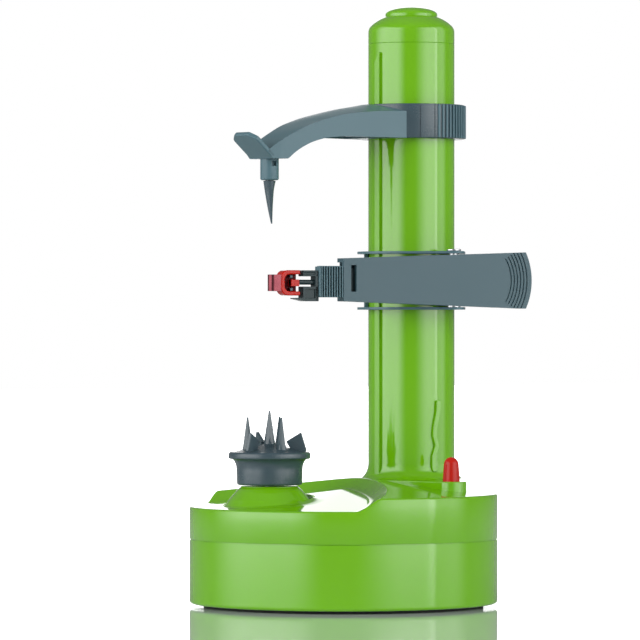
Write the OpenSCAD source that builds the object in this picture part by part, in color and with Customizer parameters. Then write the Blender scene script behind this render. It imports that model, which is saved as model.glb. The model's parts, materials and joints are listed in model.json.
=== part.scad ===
// Electric potato peeler: a round base with a driven food holder, and a column on which a
// blade carriage climbs and a spiked arm slides down onto the food.
// Origin at the middle of the base on the table. +X runs from the food holder to the column.

/* [Base] */
// Radius of the base's upright wall
base_r = 73.8; // [71:0.2:80]
// Height of the outer edge of the top above the table
base_edge_z = 53.8; // [51:0.2:60]
// Rise of the shallow conical top from its edge to its middle
top_rise = 8.5; // [6:0.5:12]
// Height of the joint line between the lower and the upper housing
seam_z = 32; // [29:0.5:34]
// Thickness of the moulded walls
wall = 2.4; // [2:0.1:3]
// Rounding along the bottom edge of the base
bottom_round = 1.6; // [0.8:0.1:2]
// Width of the groove at the joint line
seam_groove = 0.5; // [0.3:0.1:1]
// Depth of the dish round the food holder
dish_drop = 6.1; // [4:0.1:8]
// Radius of the dish at its floor
dish_foot_r = 70.9; // [64:0.1:76]
// Run of the sloping wall round the dish
dish_slope_run = 10.8; // [7:0.1:12]
// Distance from the food axis to the middle of the dish, away from the column
dish_shift = 17.9; // [14:0.1:22]
// Distance of the middle of the dish from the line between the axes, away from the button
dish_side = 8.1; // [0:0.1:10]
// Height of the rubber foot ring below the housing
foot_h = 1.4; // [1:0.1:3]
// Outer radius of the foot ring
foot_r = 67; // [60:0.5:69]
// Width of the foot ring
foot_w = 5; // [3:0.5:8]

/* [Axes] */
// Distance from the food axis to the column axis
axis_gap = 89; // [86:0.5:92]
// Distance from the food axis to the middle of the base
food_offset = 45.9; // [43:0.1:48]

/* [Column] */
// Outer radius of the column
column_r = 20.9; // [19:0.1:22]
// Wall of the column
column_wall = 3; // [2:0.1:4]
// Height of the joint between the column and its cap
column_top_z = 270.5; // [262:0.5:280]
// Radius of the flared foot of the column
flare_r = 26.5; // [24:0.1:29]
// Height of the flared foot
flare_h = 7.5; // [5:0.1:9]
// Height of the raised plate under the column
plate_z = 60.2; // [59:0.1:61]
// Width of the guide rib that faces the food
guide_w = 3.4; // [2.5:0.1:5]
// How far the guide rib and the cam rib stand out
rib_out = 1.4; // [1:0.1:2]
// Height of the cam rib that pushes the peeling lever away at the bottom
cam_h = 34.3; // [28:0.1:38]
// Width of the cam rib
cam_w = 2.4; // [2:0.1:3]
// Height of the cap up to its shoulder
cap_side_h = 7.6; // [5:0.1:10]
// Height of the cap's shoulder
shoulder_h = 5.9; // [4:0.1:8]
// Radius of the round button on the cap
crown_r = 12.6; // [10:0.1:14]
// Height of that button's upright edge
crown_edge_h = 1.8; // [1:0.1:3]
// Height of that button's dome above its edge
crown_dome_h = 3.9; // [2:0.1:5]
// Width of the slot for the carriage nut, at the back of the column
slot_w = 7; // [6:0.2:9]

/* [Food holder] */
// Radius of the holder's rim
rim_r = 19.4; // [17:0.1:21]
// Thickness of the rim
rim_h = 3.3; // [2.5:0.1:4]
// Radius of the holder's body
holder_r = 15.4; // [13:0.1:16]
// Height of the body below the rim
holder_h = 12.4; // [10:0.1:15]
// Rise of the holder's top from the rim to the middle
holder_rise = 3.8; // [2:0.1:5]
// Height of the middle spike
middle_spike_h = 15.7; // [12:0.1:20]
// Radius of the middle spike at its root
middle_spike_r = 2.4; // [2:0.1:3]
// Height of the outer spikes
outer_spike_h = 14.5; // [10:0.1:18]
// Radius of the circle of outer spikes
spike_ring_r = 10.4; // [9:0.1:12]
// Height of the radial fins above the rim
fin_h = 9.2; // [6:0.1:12]
// Thickness of the fins
fin_t = 1.6; // [1:0.1:2.5]
// Radius of the pedestal under the holder at its foot
pedestal_r = 20.2; // [18:0.1:23]
// Radius of the pedestal at its top
pedestal_top_r = 13.7; // [12:0.1:15]
// Height of the pedestal
pedestal_h = 7.6; // [6:0.1:9]
// Height of the gap between the pedestal and the holder
holder_gap = 0.4; // [0.3:0.1:1]
// Radius of the holder's drive shaft
shaft_r = 3; // [2:0.1:4]

/* [Upper arm] */
// Outer radius of the sliding collars on the column
collar_r = 26.5; // [25:0.1:29]
// Height of the upper arm's collar
collar_h = 16.5; // [14:0.1:20]
// Height of the collar's underside above the table
collar_z = 224.5; // [216:0.5:230]
// Half width of the arm where it leaves the column axis
arm_root_w = 20.3; // [18:0.1:21]
// Half width of the arm at the spike
arm_tip_w = 8.75; // [7:0.05:11]
// Drop from the collar's underside to the arm's end
arm_drop = 11.2; // [8:0.1:14]
// Length of the turned up lip at the arm's end
lip_l = 14.2; // [12:0.1:18]
// Angle of the lip above level
lip_angle = 48.5; // [35:0.5:55]
// Thickness of the lip
lip_t = 2.2; // [1.5:0.1:3]
// Depth of the grip ribs on the collar
grip_depth = 0.7; // [0.4:0.1:1]
// Angle from one grip rib to the next
grip_step = 5; // [4:1:8]
// Radius of the bush that carries the top spike
bush_r = 4.4; // [3.5:0.1:6]
// Length of the bush
bush_h = 10.1; // [8:0.1:13]
// Length of the top spike below the bush
spike_l = 20.3; // [15:0.1:25]
// Radius of the top spike at its root
spike_r = 2.95; // [2:0.05:3.5]

/* [Carriage and lever] */
// Height of the carriage's underside above the table
carriage_z = 142; // [140:0.5:146]
// Height of the carriage over both plates
carriage_h = 28.1; // [28:0.1:30]
// Thickness of the carriage's plates
plate_t = 1.2; // [1:0.1:1.8]
// Distance from the column axis to the lever's pivot
pivot_gap = 31; // [30:0.1:34]
// Radius of the carriage's ears round the pin
ear_r = 5; // [4:0.1:5.4]
// Radius of the lever's pivot pin
pin_r = 2.2; // [1.5:0.1:2.6]
// Angle of the resting lever to the line between the axes
lever_rest = 12; // [8:0.5:14]
// Length of the lever from its pivot towards the blade
lever_l = 62.9; // [56:0.1:66]
// Length of the thumb tab from the pivot
tab_l = 40.2; // [36:0.1:44]
// Height of the lever at its blade end
lever_end_h = 20.4; // [18:0.1:22]
// Height of the lever's barrel, between the carriage's plates
lever_mid_h = 22.8; // [20:0.1:23]
// Height of the thumb tab
tab_h = 27.2; // [24:0.1:28]
// Radius of the thumb tab's curved end and of its grooves
tab_r = 30; // [20:0.5:40]
// Thickness of the lever
lever_t = 6.5; // [5:0.1:8]
// Wall of the lever
lever_wall = 2; // [1.5:0.1:2.5]
// Number of grooves in the thumb tab
tab_grooves = 6; // [3:1:7]
// Length of the ribbed neck
neck_l = 13; // [10:0.1:16]
// Height of the ribbed neck
neck_h = 14.9; // [12:0.1:16]
// Number of ribs on the neck
neck_ribs = 9; // [6:1:11]
// Length of the fork that carries the blade head
fork_l = 8.2; // [7:0.1:10]
// Length of the swivelling blade head's frame
head_l = 10.6; // [9:0.1:13]
// Height of the blade head
head_h = 12; // [10:0.1:13]
// Depth of the blade head, front to back
head_d = 8.3; // [8:0.1:9]
// Radius of the curved blade that stands out of the head
blade_r = 4.05; // [3.5:0.05:4.1]
// Height of the blade
blade_h = 7.8; // [6:0.1:9]
// Radius of the blade head's axle
blade_pin_r = 1.2; // [0.9:0.05:1.5]

/* [Start button] */
// Radius of the button at its foot
button_r = 4; // [3:0.1:5]
// Height of the button above its boss
button_h = 11.6; // [8:0.1:14]
// Distance from the column axis to the button's axis, along the base
button_back = 15.5; // [13:0.1:18]
// Distance from the line between the axes to the button
button_side = 46.7; // [44:0.1:49]
// Radius of the round boss under the button
boss_r = 7.3; // [6:0.1:9]
// Travel of the button
button_travel = 3; // [2:0.1:4]

/* [Drive] */
// Radius of the motor can
motor_r = 12.2; // [10:0.1:12.4]
// Height of the motor can
motor_h = 25; // [20:0.5:25.5]
// Height of the underside of the gear plate
chassis_z = 30; // [28:0.5:31]
// Thickness of the gear plate
chassis_t = 2.5; // [2:0.1:3]
// Width of the gears' teeth
gear_w = 5; // [4:0.1:5.4]
// Core radius of the lead screw
screw_core_r = 4.4; // [4:0.1:5]
// Throw of the lead screw's thread
screw_throw = 1.6; // [1:0.1:2]
// Lead of the lead screw
screw_lead = 16; // [12:0.5:24]
// Radius of a round cell
cell_r = 7.2; // [7:0.05:7.3]
// Length of a cell
cell_l = 49.5; // [48:0.1:50.5]

/* [Clearances] */
// Running clearance of a shaft in its bore, on the radius
run_gap = 0.06; // [0.03:0.01:0.1]
// Clearance of a collar that slides on the column, on the radius
slide_gap = 0.35; // [0.3:0.05:0.5]
// Clearance between pieces that move past each other
part_gap = 0.3; // [0.3:0.05:0.5]
// Play between meshing teeth
backlash = 0.3; // [0.2:0.05:0.4]

/* [Hidden] */
$fn = 96;
over = 0.5;
tuck = 0.03;
food_x = -food_offset;
column_x = axis_gap - food_offset;
lever_z = carriage_z + carriage_h / 2;

// Teeth of the train from the holder across the idler to the lead screw, and of the reduction
holder_teeth = 48;
idler_teeth = 45;
screw_teeth = 40;
small_teeth = 15;
large_teeth = 44;
pinion_teeth = 12;
gear_m = axis_gap / (holder_teeth / 2 + idler_teeth + screw_teeth / 2);
idler_x = food_x + gear_m * (holder_teeth + idler_teeth) / 2;
compound_turn = 60;
compound_gap = gear_m * (idler_teeth + small_teeth) / 2;
compound_x = idler_x + compound_gap * cos(compound_turn);
compound_y = compound_gap * sin(compound_turn);
motor_turn = 100;
motor_gap = gear_m * (large_teeth + pinion_teeth) / 2;
motor_x = compound_x + motor_gap * cos(motor_turn);
motor_y = compound_y + motor_gap * sin(motor_turn);
chassis_top = chassis_z + chassis_t;
low_gear_z = chassis_top + 3 * part_gap;
high_gear_z = low_gear_z + gear_w + 2 * part_gap;
axle_r = 2;
journal_r = 3;
motor_shaft_r = 1;
bearing_r = 5;
bearing_lip_r = 7;
bearing_lip_h = 1.2;

// The top and the dish are the same shallow cone, one lower than the other
top_apex_z = base_edge_z + top_rise;
cone_slope = top_rise / base_r;
dish_x = food_x - dish_shift;
dish_tilt = 12.6;
function deck_z(x, y) = top_apex_z - cone_slope * norm([x, y]);
pedestal_z = deck_z(food_x, 0) - dish_drop;
pedestal_top_z = pedestal_z + pedestal_h;
holder_z = pedestal_top_z + holder_gap;
rim_z = holder_z + holder_h;
holder_top_z = rim_z + rim_h;
seal_h = 1.5;
seal_r = 7;
floor_z = foot_h;
floor_top = floor_z + wall;
inner_r = base_r - wall;

button_x = column_x - button_back;
button_y = -button_side;
flare_top_z = plate_z + flare_h;
cap_z = column_top_z + cap_side_h;
crown_z = cap_z + shoulder_h - crown_edge_h;
bore_r = column_r + slide_gap;
column_in_r = column_r - column_wall;
spigot_r = column_in_r + column_wall / 2;

// The start button rests with its flange just under the boss, above the switch
flange_out = 1.2;
flange_r = button_r + flange_out;
flange_h = 1;
stem_r = button_r / 2;
button_flange_z = deck_z(button_x + flange_r, button_y - flange_r / 2) - wall - part_gap - flange_h;
stem_z = button_flange_z - wall;
switch_h = 5.4;
switch_z = stem_z - button_travel - part_gap - switch_h;

guide_turn = 180;
cam_turn = -100;
slot_turn = 60;

// Travel of the carriage, and the slot and nut that follow it
carriage_down = 43.5;
carriage_up = 22;
nut_h = 16;
nut_gap = 0.7;
screw_crest_r = screw_core_r + screw_throw;
slot_low = lever_z - nut_h / 2 - carriage_down - 8 * part_gap;
slot_high = lever_z + nut_h / 2 + carriage_up + 8 * part_gap;
screw_low_z = slot_low - nut_h;
bearing_z = column_top_z - nut_h;
plate_ring_r = collar_r - part_gap;
barrel_r = pin_r + lever_wall + part_gap;
pin_head_out = 1.3;
pin_head_h = 1;

// The lever's spring stands round the pin in a counterbore of the lever
spring_h = 6;
spring_t = 0.9;
spring_in_r = pin_r + part_gap / 2;
spring_out_r = spring_in_r + spring_t;
spring_z = carriage_z + plate_t;

// Screw bosses of the housings and posts of the gear plate, as angles round the base
boss_turns = [20, 145, 215, 340];
boss_ring_r = 65.5;
boss_post_r = 4;
post_turns = [40, 125, 235, 320];
post_ring_r = 59.5;
spike_turns = [23.5, 143.5, 263.5];
fin_turns = [-47, 73, 193];
screw_r = 1.5;
screw_head_r = 2.8;
screw_head_h = 1.6;

// Cells lie side by side along the long axis, under the gear plate
cell_count = 4;
cell_nub_h = 1;
cell_pitch = 2 * cell_r + part_gap;
contact_room = 3.5;
bay_l = cell_l + 2 * contact_room;
bay_w = cell_count * cell_pitch + 2 * part_gap;
bay_wall = 1.6;
bay_x = bay_l / 2 - sqrt(pow(foot_r - foot_w - wall, 2) - pow(bay_w / 2 + bay_wall, 2));
bay_z = floor_top + part_gap;
contact_t = 0.4;

// The lever's own frame: x from the pivot towards the blade, y away from the column
blade_y = 2;
lever_back = -1;
neck_x = lever_l;
fork_x = neck_x + neck_l;
head_x = fork_x + fork_l + part_gap;
blade_x = head_x + head_l;
neck_d = 7;
head_drop = 1.2;
neck_drop = 0.9;
head_z = lever_z - head_drop;
neck_z = lever_z - neck_drop;
tongue_l = 12;
tongue_h = 13.4;
tongue_d = 2.8;
fork_d = 5;
axle_l = 12.8;

green = "yellowgreen";
grey = "slategray";
dark = "darkslategray";
steel = "silver";

// Copies its children once for each angle, turned round Z
module around(turns) {
    for (a = turns) rotate([0, 0, a]) children();
}

module at_food() { translate([food_x, 0, 0]) children(); }

module at_column() { translate([column_x, 0, 0]) children(); }

module at_lever() { translate([column_x, -pivot_gap, 0]) rotate([0, 0, 180 - lever_rest]) children(); }

// A drawing in x and z made a slab that starts at y and has this thickness
module slab(y, t) { translate([0, y + t, 0]) rotate([90, 0, 0]) linear_extrude(t) children(); }

module tube(r_out, r_in, z, h) {
    translate([0, 0, z]) difference() {
        cylinder(r = r_out, h = h);
        translate([0, 0, -over]) cylinder(r = r_in, h = h + 2 * over);
    }
}

module rod(r, z, h) { translate([0, 0, z]) cylinder(r = r, h = h); }

module block(size, centre) { translate(centre - size / 2) cube(size); }

// Two discs joined by straight sides, the second one gap away along the angle. The sides lie just
// inside the tangents, so that they cross the discs
module lobe(r_a, r_b, gap, angle) {
    open = acos((r_a - r_b) / gap);
    side_a = r_a - tuck;
    side_b = r_b - tuck;
    rotate(angle) {
        circle(r = r_a);
        translate([gap, 0]) circle(r = r_b);
        polygon([
            side_a * [cos(open), sin(open)], side_a * [cos(open), -sin(open)],
            [gap, 0] + side_b * [cos(open), -sin(open)], [gap, 0] + side_b * [cos(open), sin(open)]
        ]);
    }
}

module round_rect(size, r) {
    for (x = [r, size[0] - r]) for (y = [r, size[1] - r]) translate([x, y]) circle(r = r);
    translate([r, 0]) square([size[0] - 2 * r, size[1]]);
    translate([0, r]) square([size[0], size[1] - 2 * r]);
}

// Involute teeth with short tips, so that pinions need no undercut
pressure = 20;
function involute(a) = tan(a) * 180 / PI - a;
function tooth_half(n, r) =
    let (r_pitch = gear_m * n / 2, r_base = r_pitch * cos(pressure))
    90 / n - backlash / 4 / r_pitch * 180 / PI + involute(pressure)
        - involute(acos(min(1, r_base / max(r, r_base))));
function gear_points(n) =
    let (
        r_root = gear_m * (n / 2 - 1.1),
        r_tip = gear_m * (n / 2 + 0.8),
        r_low = max(r_root, gear_m * n / 2 * cos(pressure)),
        radii = [r_root, for (i = [0:4]) r_low + (r_tip - r_low) * i / 4]
    )
    [
        for (k = [0:n - 1])
            for (side = [-1, 1])
                for (i = [0:5])
                    let (r = radii[side < 0 ? i : 5 - i], a = 360 * k / n + side * tooth_half(n, r))
                    r * [cos(a), sin(a)]
    ];

// The turn that puts gear b in mesh with gear a, when b lies at this angle from a
function mesh_turn(turn_a, teeth_a, teeth_b, angle) =
    angle + 180 + 360 / teeth_b * (1 / 2 - (turn_a - angle) * teeth_a / 360);
holder_turn = 0;
idler_turn = mesh_turn(holder_turn, holder_teeth, idler_teeth, 0);
screw_turn = mesh_turn(idler_turn, idler_teeth, screw_teeth, 0);
small_turn = mesh_turn(idler_turn, idler_teeth, small_teeth, compound_turn);
pinion_turn = mesh_turn(0, large_teeth, pinion_teeth, motor_turn);

module gear(teeth, turn, z, h, bore) {
    translate([0, 0, z]) rotate([0, 0, turn]) linear_extrude(h) difference() {
        polygon(gear_points(teeth));
        circle(r = bore);
    }
}

// Solid under the shallow cone, this much lower and narrower than the base's outside
module under_cone(lower, inset, z) {
    rotate_extrude() polygon([
        [0, z], [base_r - inset, z], [base_r - inset, base_edge_z - lower + inset * cone_slope],
        [0, top_apex_z - lower]
    ]);
}

// Space of the dish, widened and deepened by extra for the underside of its wall
module dish_space(extra) {
    reach = 3 * dish_drop;
    flare = dish_slope_run / dish_drop;
    difference() {
        translate([dish_x, dish_side, top_apex_z - dish_drop - extra + tan(dish_tilt) * dish_x])
            rotate([0, -dish_tilt, 0])
            translate([0, 0, -reach])
            cylinder(
                r1 = dish_foot_r + extra - reach * flare, r2 = dish_foot_r + extra + reach * flare,
                h = 2 * reach
            );
        under_cone(dish_drop + extra, -over, 0);
    }
}

module top_form(inset, lower, z) {
    difference() {
        under_cone(lower, inset, z);
        dish_space(lower);
    }
}

module top_cover() {
    button_hole_r = button_r + part_gap;
    color(green) difference() {
        union() {
            difference() {
                union() {
                    top_form(0, 0, seam_z);
                    at_column() translate([0, 0, seam_z]) linear_extrude(plate_z - seam_z)
                        lobe(
                            flare_r, boss_r, norm([button_back, button_side]),
                            180 + atan2(button_side, button_back)
                        );
                    at_food() translate([0, 0, pedestal_z - wall])
                        cylinder(
                            r1 = pedestal_r + wall * (pedestal_r - pedestal_top_r) / pedestal_h,
                            r2 = pedestal_top_r, h = pedestal_h + wall
                        );
                }
                top_form(wall, wall, seam_z - over);
                tube(base_r + over, base_r - seam_groove, seam_z - over, seam_groove + over);
            }
            intersection() {
                union() {
                    around(boss_turns) translate([boss_ring_r, 0, 0])
                        rod(boss_post_r, seam_z, base_edge_z - seam_z);
                    at_column() tube(
                        spigot_r + wall, spigot_r, deck_z(column_x + spigot_r + wall, 0) - 2 * wall, 2 * wall
                    );
                }
                top_form(wall / 2, wall / 2, seam_z);
            }
        }
        around(boss_turns) translate([boss_ring_r, 0, 0])
            rod(screw_r, seam_z - over, base_edge_z - seam_z - 3 * wall);
        at_food() rod(shaft_r + run_gap, seam_z, pedestal_top_z);
        at_food() rod(seal_r, pedestal_top_z - seal_h, seal_h + over);
        at_column() rod(spigot_r, seam_z, plate_z);
        translate([button_x, button_y, 0]) rod(button_hole_r, seam_z, plate_z);
    }
}

// Plan of the battery bay, grown by this much on every side
module bay(grow, z, h) {
    block([bay_l + 2 * grow, bay_w + 2 * grow, h], [bay_x, 0, z + h / 2]);
}

module lower_housing() {
    step_r = bottom_round;
    color(green) difference() {
        union() {
            rotate_extrude() difference() {
                polygon([
                    [0, floor_z], [base_r - step_r, floor_z],
                    for (a = [15:15:75]) [base_r - step_r + step_r * sin(a), floor_z + step_r * (1 - cos(a))],
                    [base_r, floor_z + step_r], [base_r, seam_z], [0, seam_z]
                ]);
                translate([-over, floor_top]) square([inner_r + over, seam_z]);
            }
            around(boss_turns) translate([boss_ring_r, 0, 0])
                rod(boss_post_r, floor_z + wall / 2, seam_z - floor_z - wall / 2);
            around(post_turns) translate([post_ring_r, 0, 0])
                rod(boss_post_r, floor_z + wall / 2, chassis_z - floor_z - wall / 2);
            difference() {
                bay(bay_wall, floor_z + wall / 2, 2 * cell_r);
                bay(0, floor_z, 2 * cell_r + wall);
            }
        }
        around(boss_turns) translate([boss_ring_r, 0, 0]) {
            rod(screw_r, floor_z - over, seam_z + over);
            rod(screw_head_r + part_gap, floor_z - over, wall + over);
        }
        around(post_turns) translate([post_ring_r, 0, 0]) rod(screw_r, chassis_z - 4 * wall, 4 * wall + over);
        bay(-bay_wall, floor_z - over, wall + 2 * over);
        bay(0, floor_z - over, wall / 2 + over);
        tube(foot_r, foot_r - foot_w, floor_z - over, over + wall / 4);
    }
}

module battery_cover() {
    color(green) union() {
        bay(-part_gap, floor_z, wall / 2 - part_gap / 2);
        bay(-bay_wall - part_gap, floor_z, wall);
    }
}

module foot_ring() {
    color(dark) tube(foot_r, foot_r - foot_w, 0, floor_z + wall / 4);
}

module headed_screw(z, length) {
    rod(screw_head_r, z, screw_head_h);
    rod(screw_r, z + screw_head_h / 2, length - screw_head_h / 2);
}

module cover_screws() {
    head_z = floor_z + wall - screw_head_h;
    color(steel) around(boss_turns) translate([boss_ring_r, 0, 0])
        headed_screw(head_z, base_edge_z - 4 * wall - head_z);
}

module plate_screws() {
    color(steel) around(post_turns) translate([post_ring_r, 0, 0]) {
        rod(screw_head_r, chassis_top, screw_head_h);
        rod(screw_r, chassis_z - 3 * wall, chassis_t + 3 * wall + screw_head_h / 2);
    }
}

module gear_plate() {
    switch_post_h = switch_z - chassis_top;
    cut_z = chassis_z - over;
    cut_h = chassis_t + 2 * over;
    color("gainsboro") difference() {
        union() {
            rod(inner_r - wall, chassis_z, chassis_t);
            translate([button_x, button_y, 0]) rod(button_r, chassis_z, chassis_t + switch_post_h);
        }
        around(post_turns) translate([post_ring_r, 0, 0]) rod(screw_r, cut_z, cut_h);
        around(boss_turns) translate([boss_ring_r, 0, 0]) rod(boss_post_r + 2 * part_gap, cut_z, cut_h);
        at_food() rod(bearing_r, cut_z, cut_h);
        at_column() rod(bearing_r, cut_z, cut_h);
        translate([idler_x, 0, 0]) rod(axle_r, cut_z, cut_h);
        translate([compound_x, compound_y, 0]) rod(axle_r, cut_z, cut_h);
        translate([motor_x, motor_y, 0]) rod(bearing_r, cut_z, cut_h);
    }
}

module gear_axles() {
    color(steel) {
        translate([idler_x, 0, 0]) rod(axle_r, chassis_z, low_gear_z + gear_w + 2 * part_gap - chassis_z);
        translate([compound_x, compound_y, 0])
            rod(axle_r, chassis_z, high_gear_z + gear_w + part_gap - chassis_z);
    }
}

module bearing() {
    tube(bearing_r, journal_r + run_gap, chassis_z - bearing_lip_h, chassis_t + bearing_lip_h);
    tube(bearing_lip_r, journal_r + run_gap, chassis_z - bearing_lip_h, bearing_lip_h);
}

module holder_bearing() { color("goldenrod") at_food() bearing(); }

module lower_bearing() { color("goldenrod") at_column() bearing(); }

module upper_bearing() {
    color("goldenrod") at_column() tube(column_in_r, journal_r + run_gap, bearing_z, bearing_lip_h * 3);
}

module motor() {
    color("lightsteelblue") translate([motor_x, motor_y, 0]) difference() {
        union() {
            rod(motor_r, chassis_z - motor_h, motor_h);
            rod(bearing_r, chassis_z - over, chassis_t + over);
        }
        rod(motor_shaft_r + run_gap, chassis_z - motor_h / 2, motor_h);
    }
}

module motor_shaft() {
    shaft_z = chassis_z - motor_h / 2 + part_gap;
    color(steel) translate([motor_x, motor_y, 0]) rod(motor_shaft_r, shaft_z, high_gear_z + gear_w - shaft_z);
}

module motor_pinion() {
    color("white") translate([motor_x, motor_y, 0])
        gear(pinion_teeth, pinion_turn, high_gear_z, gear_w, motor_shaft_r);
}

module compound_gear() {
    color("white") translate([compound_x, compound_y, 0]) {
        gear(large_teeth, 0, high_gear_z, gear_w, axle_r + run_gap);
        gear(small_teeth, small_turn, low_gear_z, high_gear_z - low_gear_z + over, axle_r + run_gap);
    }
}

module idler_gear() {
    color("white") translate([idler_x, 0, 0])
        gear(idler_teeth, idler_turn, low_gear_z, gear_w, axle_r + run_gap);
}

module holder_gear() {
    color("white") at_food() gear(holder_teeth, holder_turn, low_gear_z, gear_w, journal_r);
}

module screw_gear() {
    color("white") at_column() gear(screw_teeth, screw_turn, low_gear_z, gear_w, journal_r);
}

module holder_shaft() {
    color(steel) at_food() rod(shaft_r, chassis_z - bearing_lip_h, rim_z - chassis_z + bearing_lip_h);
}

module holder_seal() {
    color("black") at_food() tube(seal_r, shaft_r + run_gap, pedestal_top_z - seal_h, seal_h);
}

// Outline of a fin that leans outwards: radii as shares of the rim's, heights above the holder's
// top as shares of the fin's height, and below it as shares of the rim's
fin_shares = [[0.59, 0], [0.4, 0.53], [0.78, 1], [0.91, 0.12], [0.88, -0.5], [0.59, -0.5]];

module fin() {
    slab(-fin_t / 2, fin_t) polygon([
        for (p = fin_shares) [rim_r * p[0], holder_top_z + (p[1] < 0 ? rim_h : fin_h) * p[1]]
    ]);
}

module food_holder() {
    edge = rim_h / 3;
    flare_share = 0.45;
    root_share = 0.7;
    flare_l = holder_h * flare_share;
    middle_z = holder_top_z + holder_rise;
    color(dark) at_food() difference() {
        union() {
            rotate_extrude() polygon([
                [0, holder_z], [holder_r - edge, holder_z], [holder_r, holder_z + edge],
                for (a = [0:15:90])
                    [holder_r + (rim_r - edge - holder_r) * (1 - cos(a)), rim_z - flare_l * (1 - sin(a))],
                [rim_r, rim_z + edge], [rim_r, holder_top_z - edge], [rim_r - edge, holder_top_z],
                [middle_spike_r, middle_z], [0, middle_z]
            ]);
            translate([0, 0, middle_z - edge])
                cylinder(r1 = middle_spike_r, r2 = middle_spike_r / 8, h = middle_spike_h + edge);
            around(spike_turns) translate([spike_ring_r, 0, holder_top_z])
                cylinder(
                    r1 = middle_spike_r * root_share, r2 = middle_spike_r / 8,
                    h = outer_spike_h + holder_rise / 2
                );
            around(fin_turns) fin();
        }
        rod(shaft_r, holder_z - over, rim_z - holder_z + over);
    }
}

// An eccentric section wound round the axis makes the coarse rounded thread
module lead_screw() {
    thread_h = bearing_z - screw_low_z - 2 * wall;
    color(steel) at_column() {
        rod(journal_r, chassis_z - bearing_lip_h, screw_low_z - chassis_z + bearing_lip_h + over);
        translate([0, 0, screw_low_z])
            linear_extrude(
                thread_h, twist = -360 * thread_h / screw_lead,
                slices = round(12 * thread_h / screw_lead), $fn = 14
            )
            translate([screw_throw, 0]) circle(r = screw_core_r);
        rod(journal_r, screw_low_z + thread_h - over, bearing_z + 4 * wall - screw_low_z - thread_h);
    }
}

module batteries() {
    color("dimgray") for (i = [0:cell_count - 1])
        translate([bay_x - cell_l / 2, (i - (cell_count - 1) / 2) * cell_pitch, bay_z + cell_r])
            rotate([0, 90, 0]) {
                cylinder(r = cell_r, h = cell_l - cell_nub_h);
                cylinder(r = cell_r / 3, h = cell_l);
            }
}

module battery_contacts() {
    color(steel) for (i = [0:cell_count - 1]) for (side = [-1, 1])
        block(
            [contact_t, cell_r, cell_r],
            [
                bay_x + side * (bay_l / 2 - contact_t / 2), (i - (cell_count - 1) / 2) * cell_pitch,
                bay_z + cell_r
            ]
        );
}

module start_switch() {
    size = [2 * button_r, 2 * button_r, switch_h];
    color("black") block(size, [button_x, button_y, switch_z + switch_h / 2]);
}

module start_button() {
    foot_z = button_flange_z + flange_h;
    straight_share = 0.15;
    dome_share = 0.32;
    taper_share = 0.88;
    top_r = button_r * taper_share;
    dome_h = button_h * dome_share;
    dome_z = plate_z + button_h - dome_h;
    color("red") translate([button_x, button_y, 0]) rotate_extrude() polygon([
        [0, stem_z], [stem_r, stem_z], [stem_r, button_flange_z], [flange_r, button_flange_z],
        [flange_r, foot_z], [button_r, foot_z], [button_r, plate_z + button_h * straight_share],
        [top_r, dome_z], for (a = [15:15:75]) [top_r * cos(a), dome_z + dome_h * sin(a)],
        [0, dome_z + dome_h]
    ]);
}

module button_spring() {
    color(steel) translate([button_x, button_y, 0])
        tube(
            flange_r - part_gap, stem_r + part_gap, switch_z + switch_h,
            button_flange_z - switch_z - switch_h
        );
}

module column() {
    color(green) at_column() difference() {
        union() {
            rotate_extrude() polygon([
                [0, plate_z], [flare_r, plate_z],
                for (a = [15:15:75]) [
                    flare_r - (flare_r - column_r) * sin(a), flare_top_z - flare_h * cos(a)
                ],
                [column_r, flare_top_z], [column_r, column_top_z], [0, column_top_z]
            ]);
            rod(spigot_r, plate_z - 2 * wall, 3 * wall);
            rotate([0, 0, guide_turn]) guide_rib();
            rotate([0, 0, cam_turn]) cam_rib();
        }
        rod(column_in_r, plate_z - 3 * wall, column_top_z);
        rotate([0, 0, slot_turn]) translate([0, -slot_w / 2, slot_low])
            cube([collar_r, slot_w, slot_high - slot_low]);
    }
}

// A drawing in width and height made a rib that stands out of the column, rooted in its wall
module column_rib() {
    root_r = column_in_r + wall / 2;
    translate([root_r, 0, 0]) rotate([90, 0, 90]) linear_extrude(column_r + rib_out - root_r) children();
}

// The rib's top is cut on a slant across its width
module guide_rib() {
    slant_share = 1.4;
    top_z = column_top_z - rib_out * 3;
    column_rib() polygon([
        [-guide_w / 2, plate_z + wall], [guide_w / 2, plate_z + wall],
        [guide_w / 2, top_z], [-guide_w / 2, top_z - guide_w * slant_share]
    ]);
}

// The cam's edge steps in and out, as shares of its width and height
cam_edge_shares = [
    [-0.4, 0], [-0.65, 0.05], [-0.65, 0.22], [0.05, 0.36],
    [-0.5, 0.51], [-0.35, 0.63], [0.35, 0.85], [0.45, 1]
];

module cam_rib() {
    low_z = plate_z + flare_h / 2;
    column_rib() polygon([
        for (p = cam_edge_shares) [p[0] * cam_w, low_z + p[1] * cam_h],
        for (i = [len(cam_edge_shares) - 1:-1:0])
            [cam_edge_shares[i][0] * cam_w + cam_w, low_z + cam_edge_shares[i][1] * cam_h]
    ]);
}

module column_cap() {
    color(green) at_column() difference() {
        union() {
            rotate_extrude() polygon([
                [0, column_top_z], [column_r, column_top_z], [column_r, cap_z],
                for (a = [15:15:90]) [
                    crown_r + (column_r - crown_r) * cos(a), cap_z + shoulder_h * sin(a)
                ],
                [0, cap_z + shoulder_h]
            ]);
            rod(column_in_r - part_gap / 2, column_top_z - wall, 2 * wall);
        }
        rod(column_in_r - wall, column_top_z - 2 * wall, cap_side_h + wall);
        rod(crown_r + part_gap / 2, crown_z, shoulder_h);
    }
}

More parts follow.
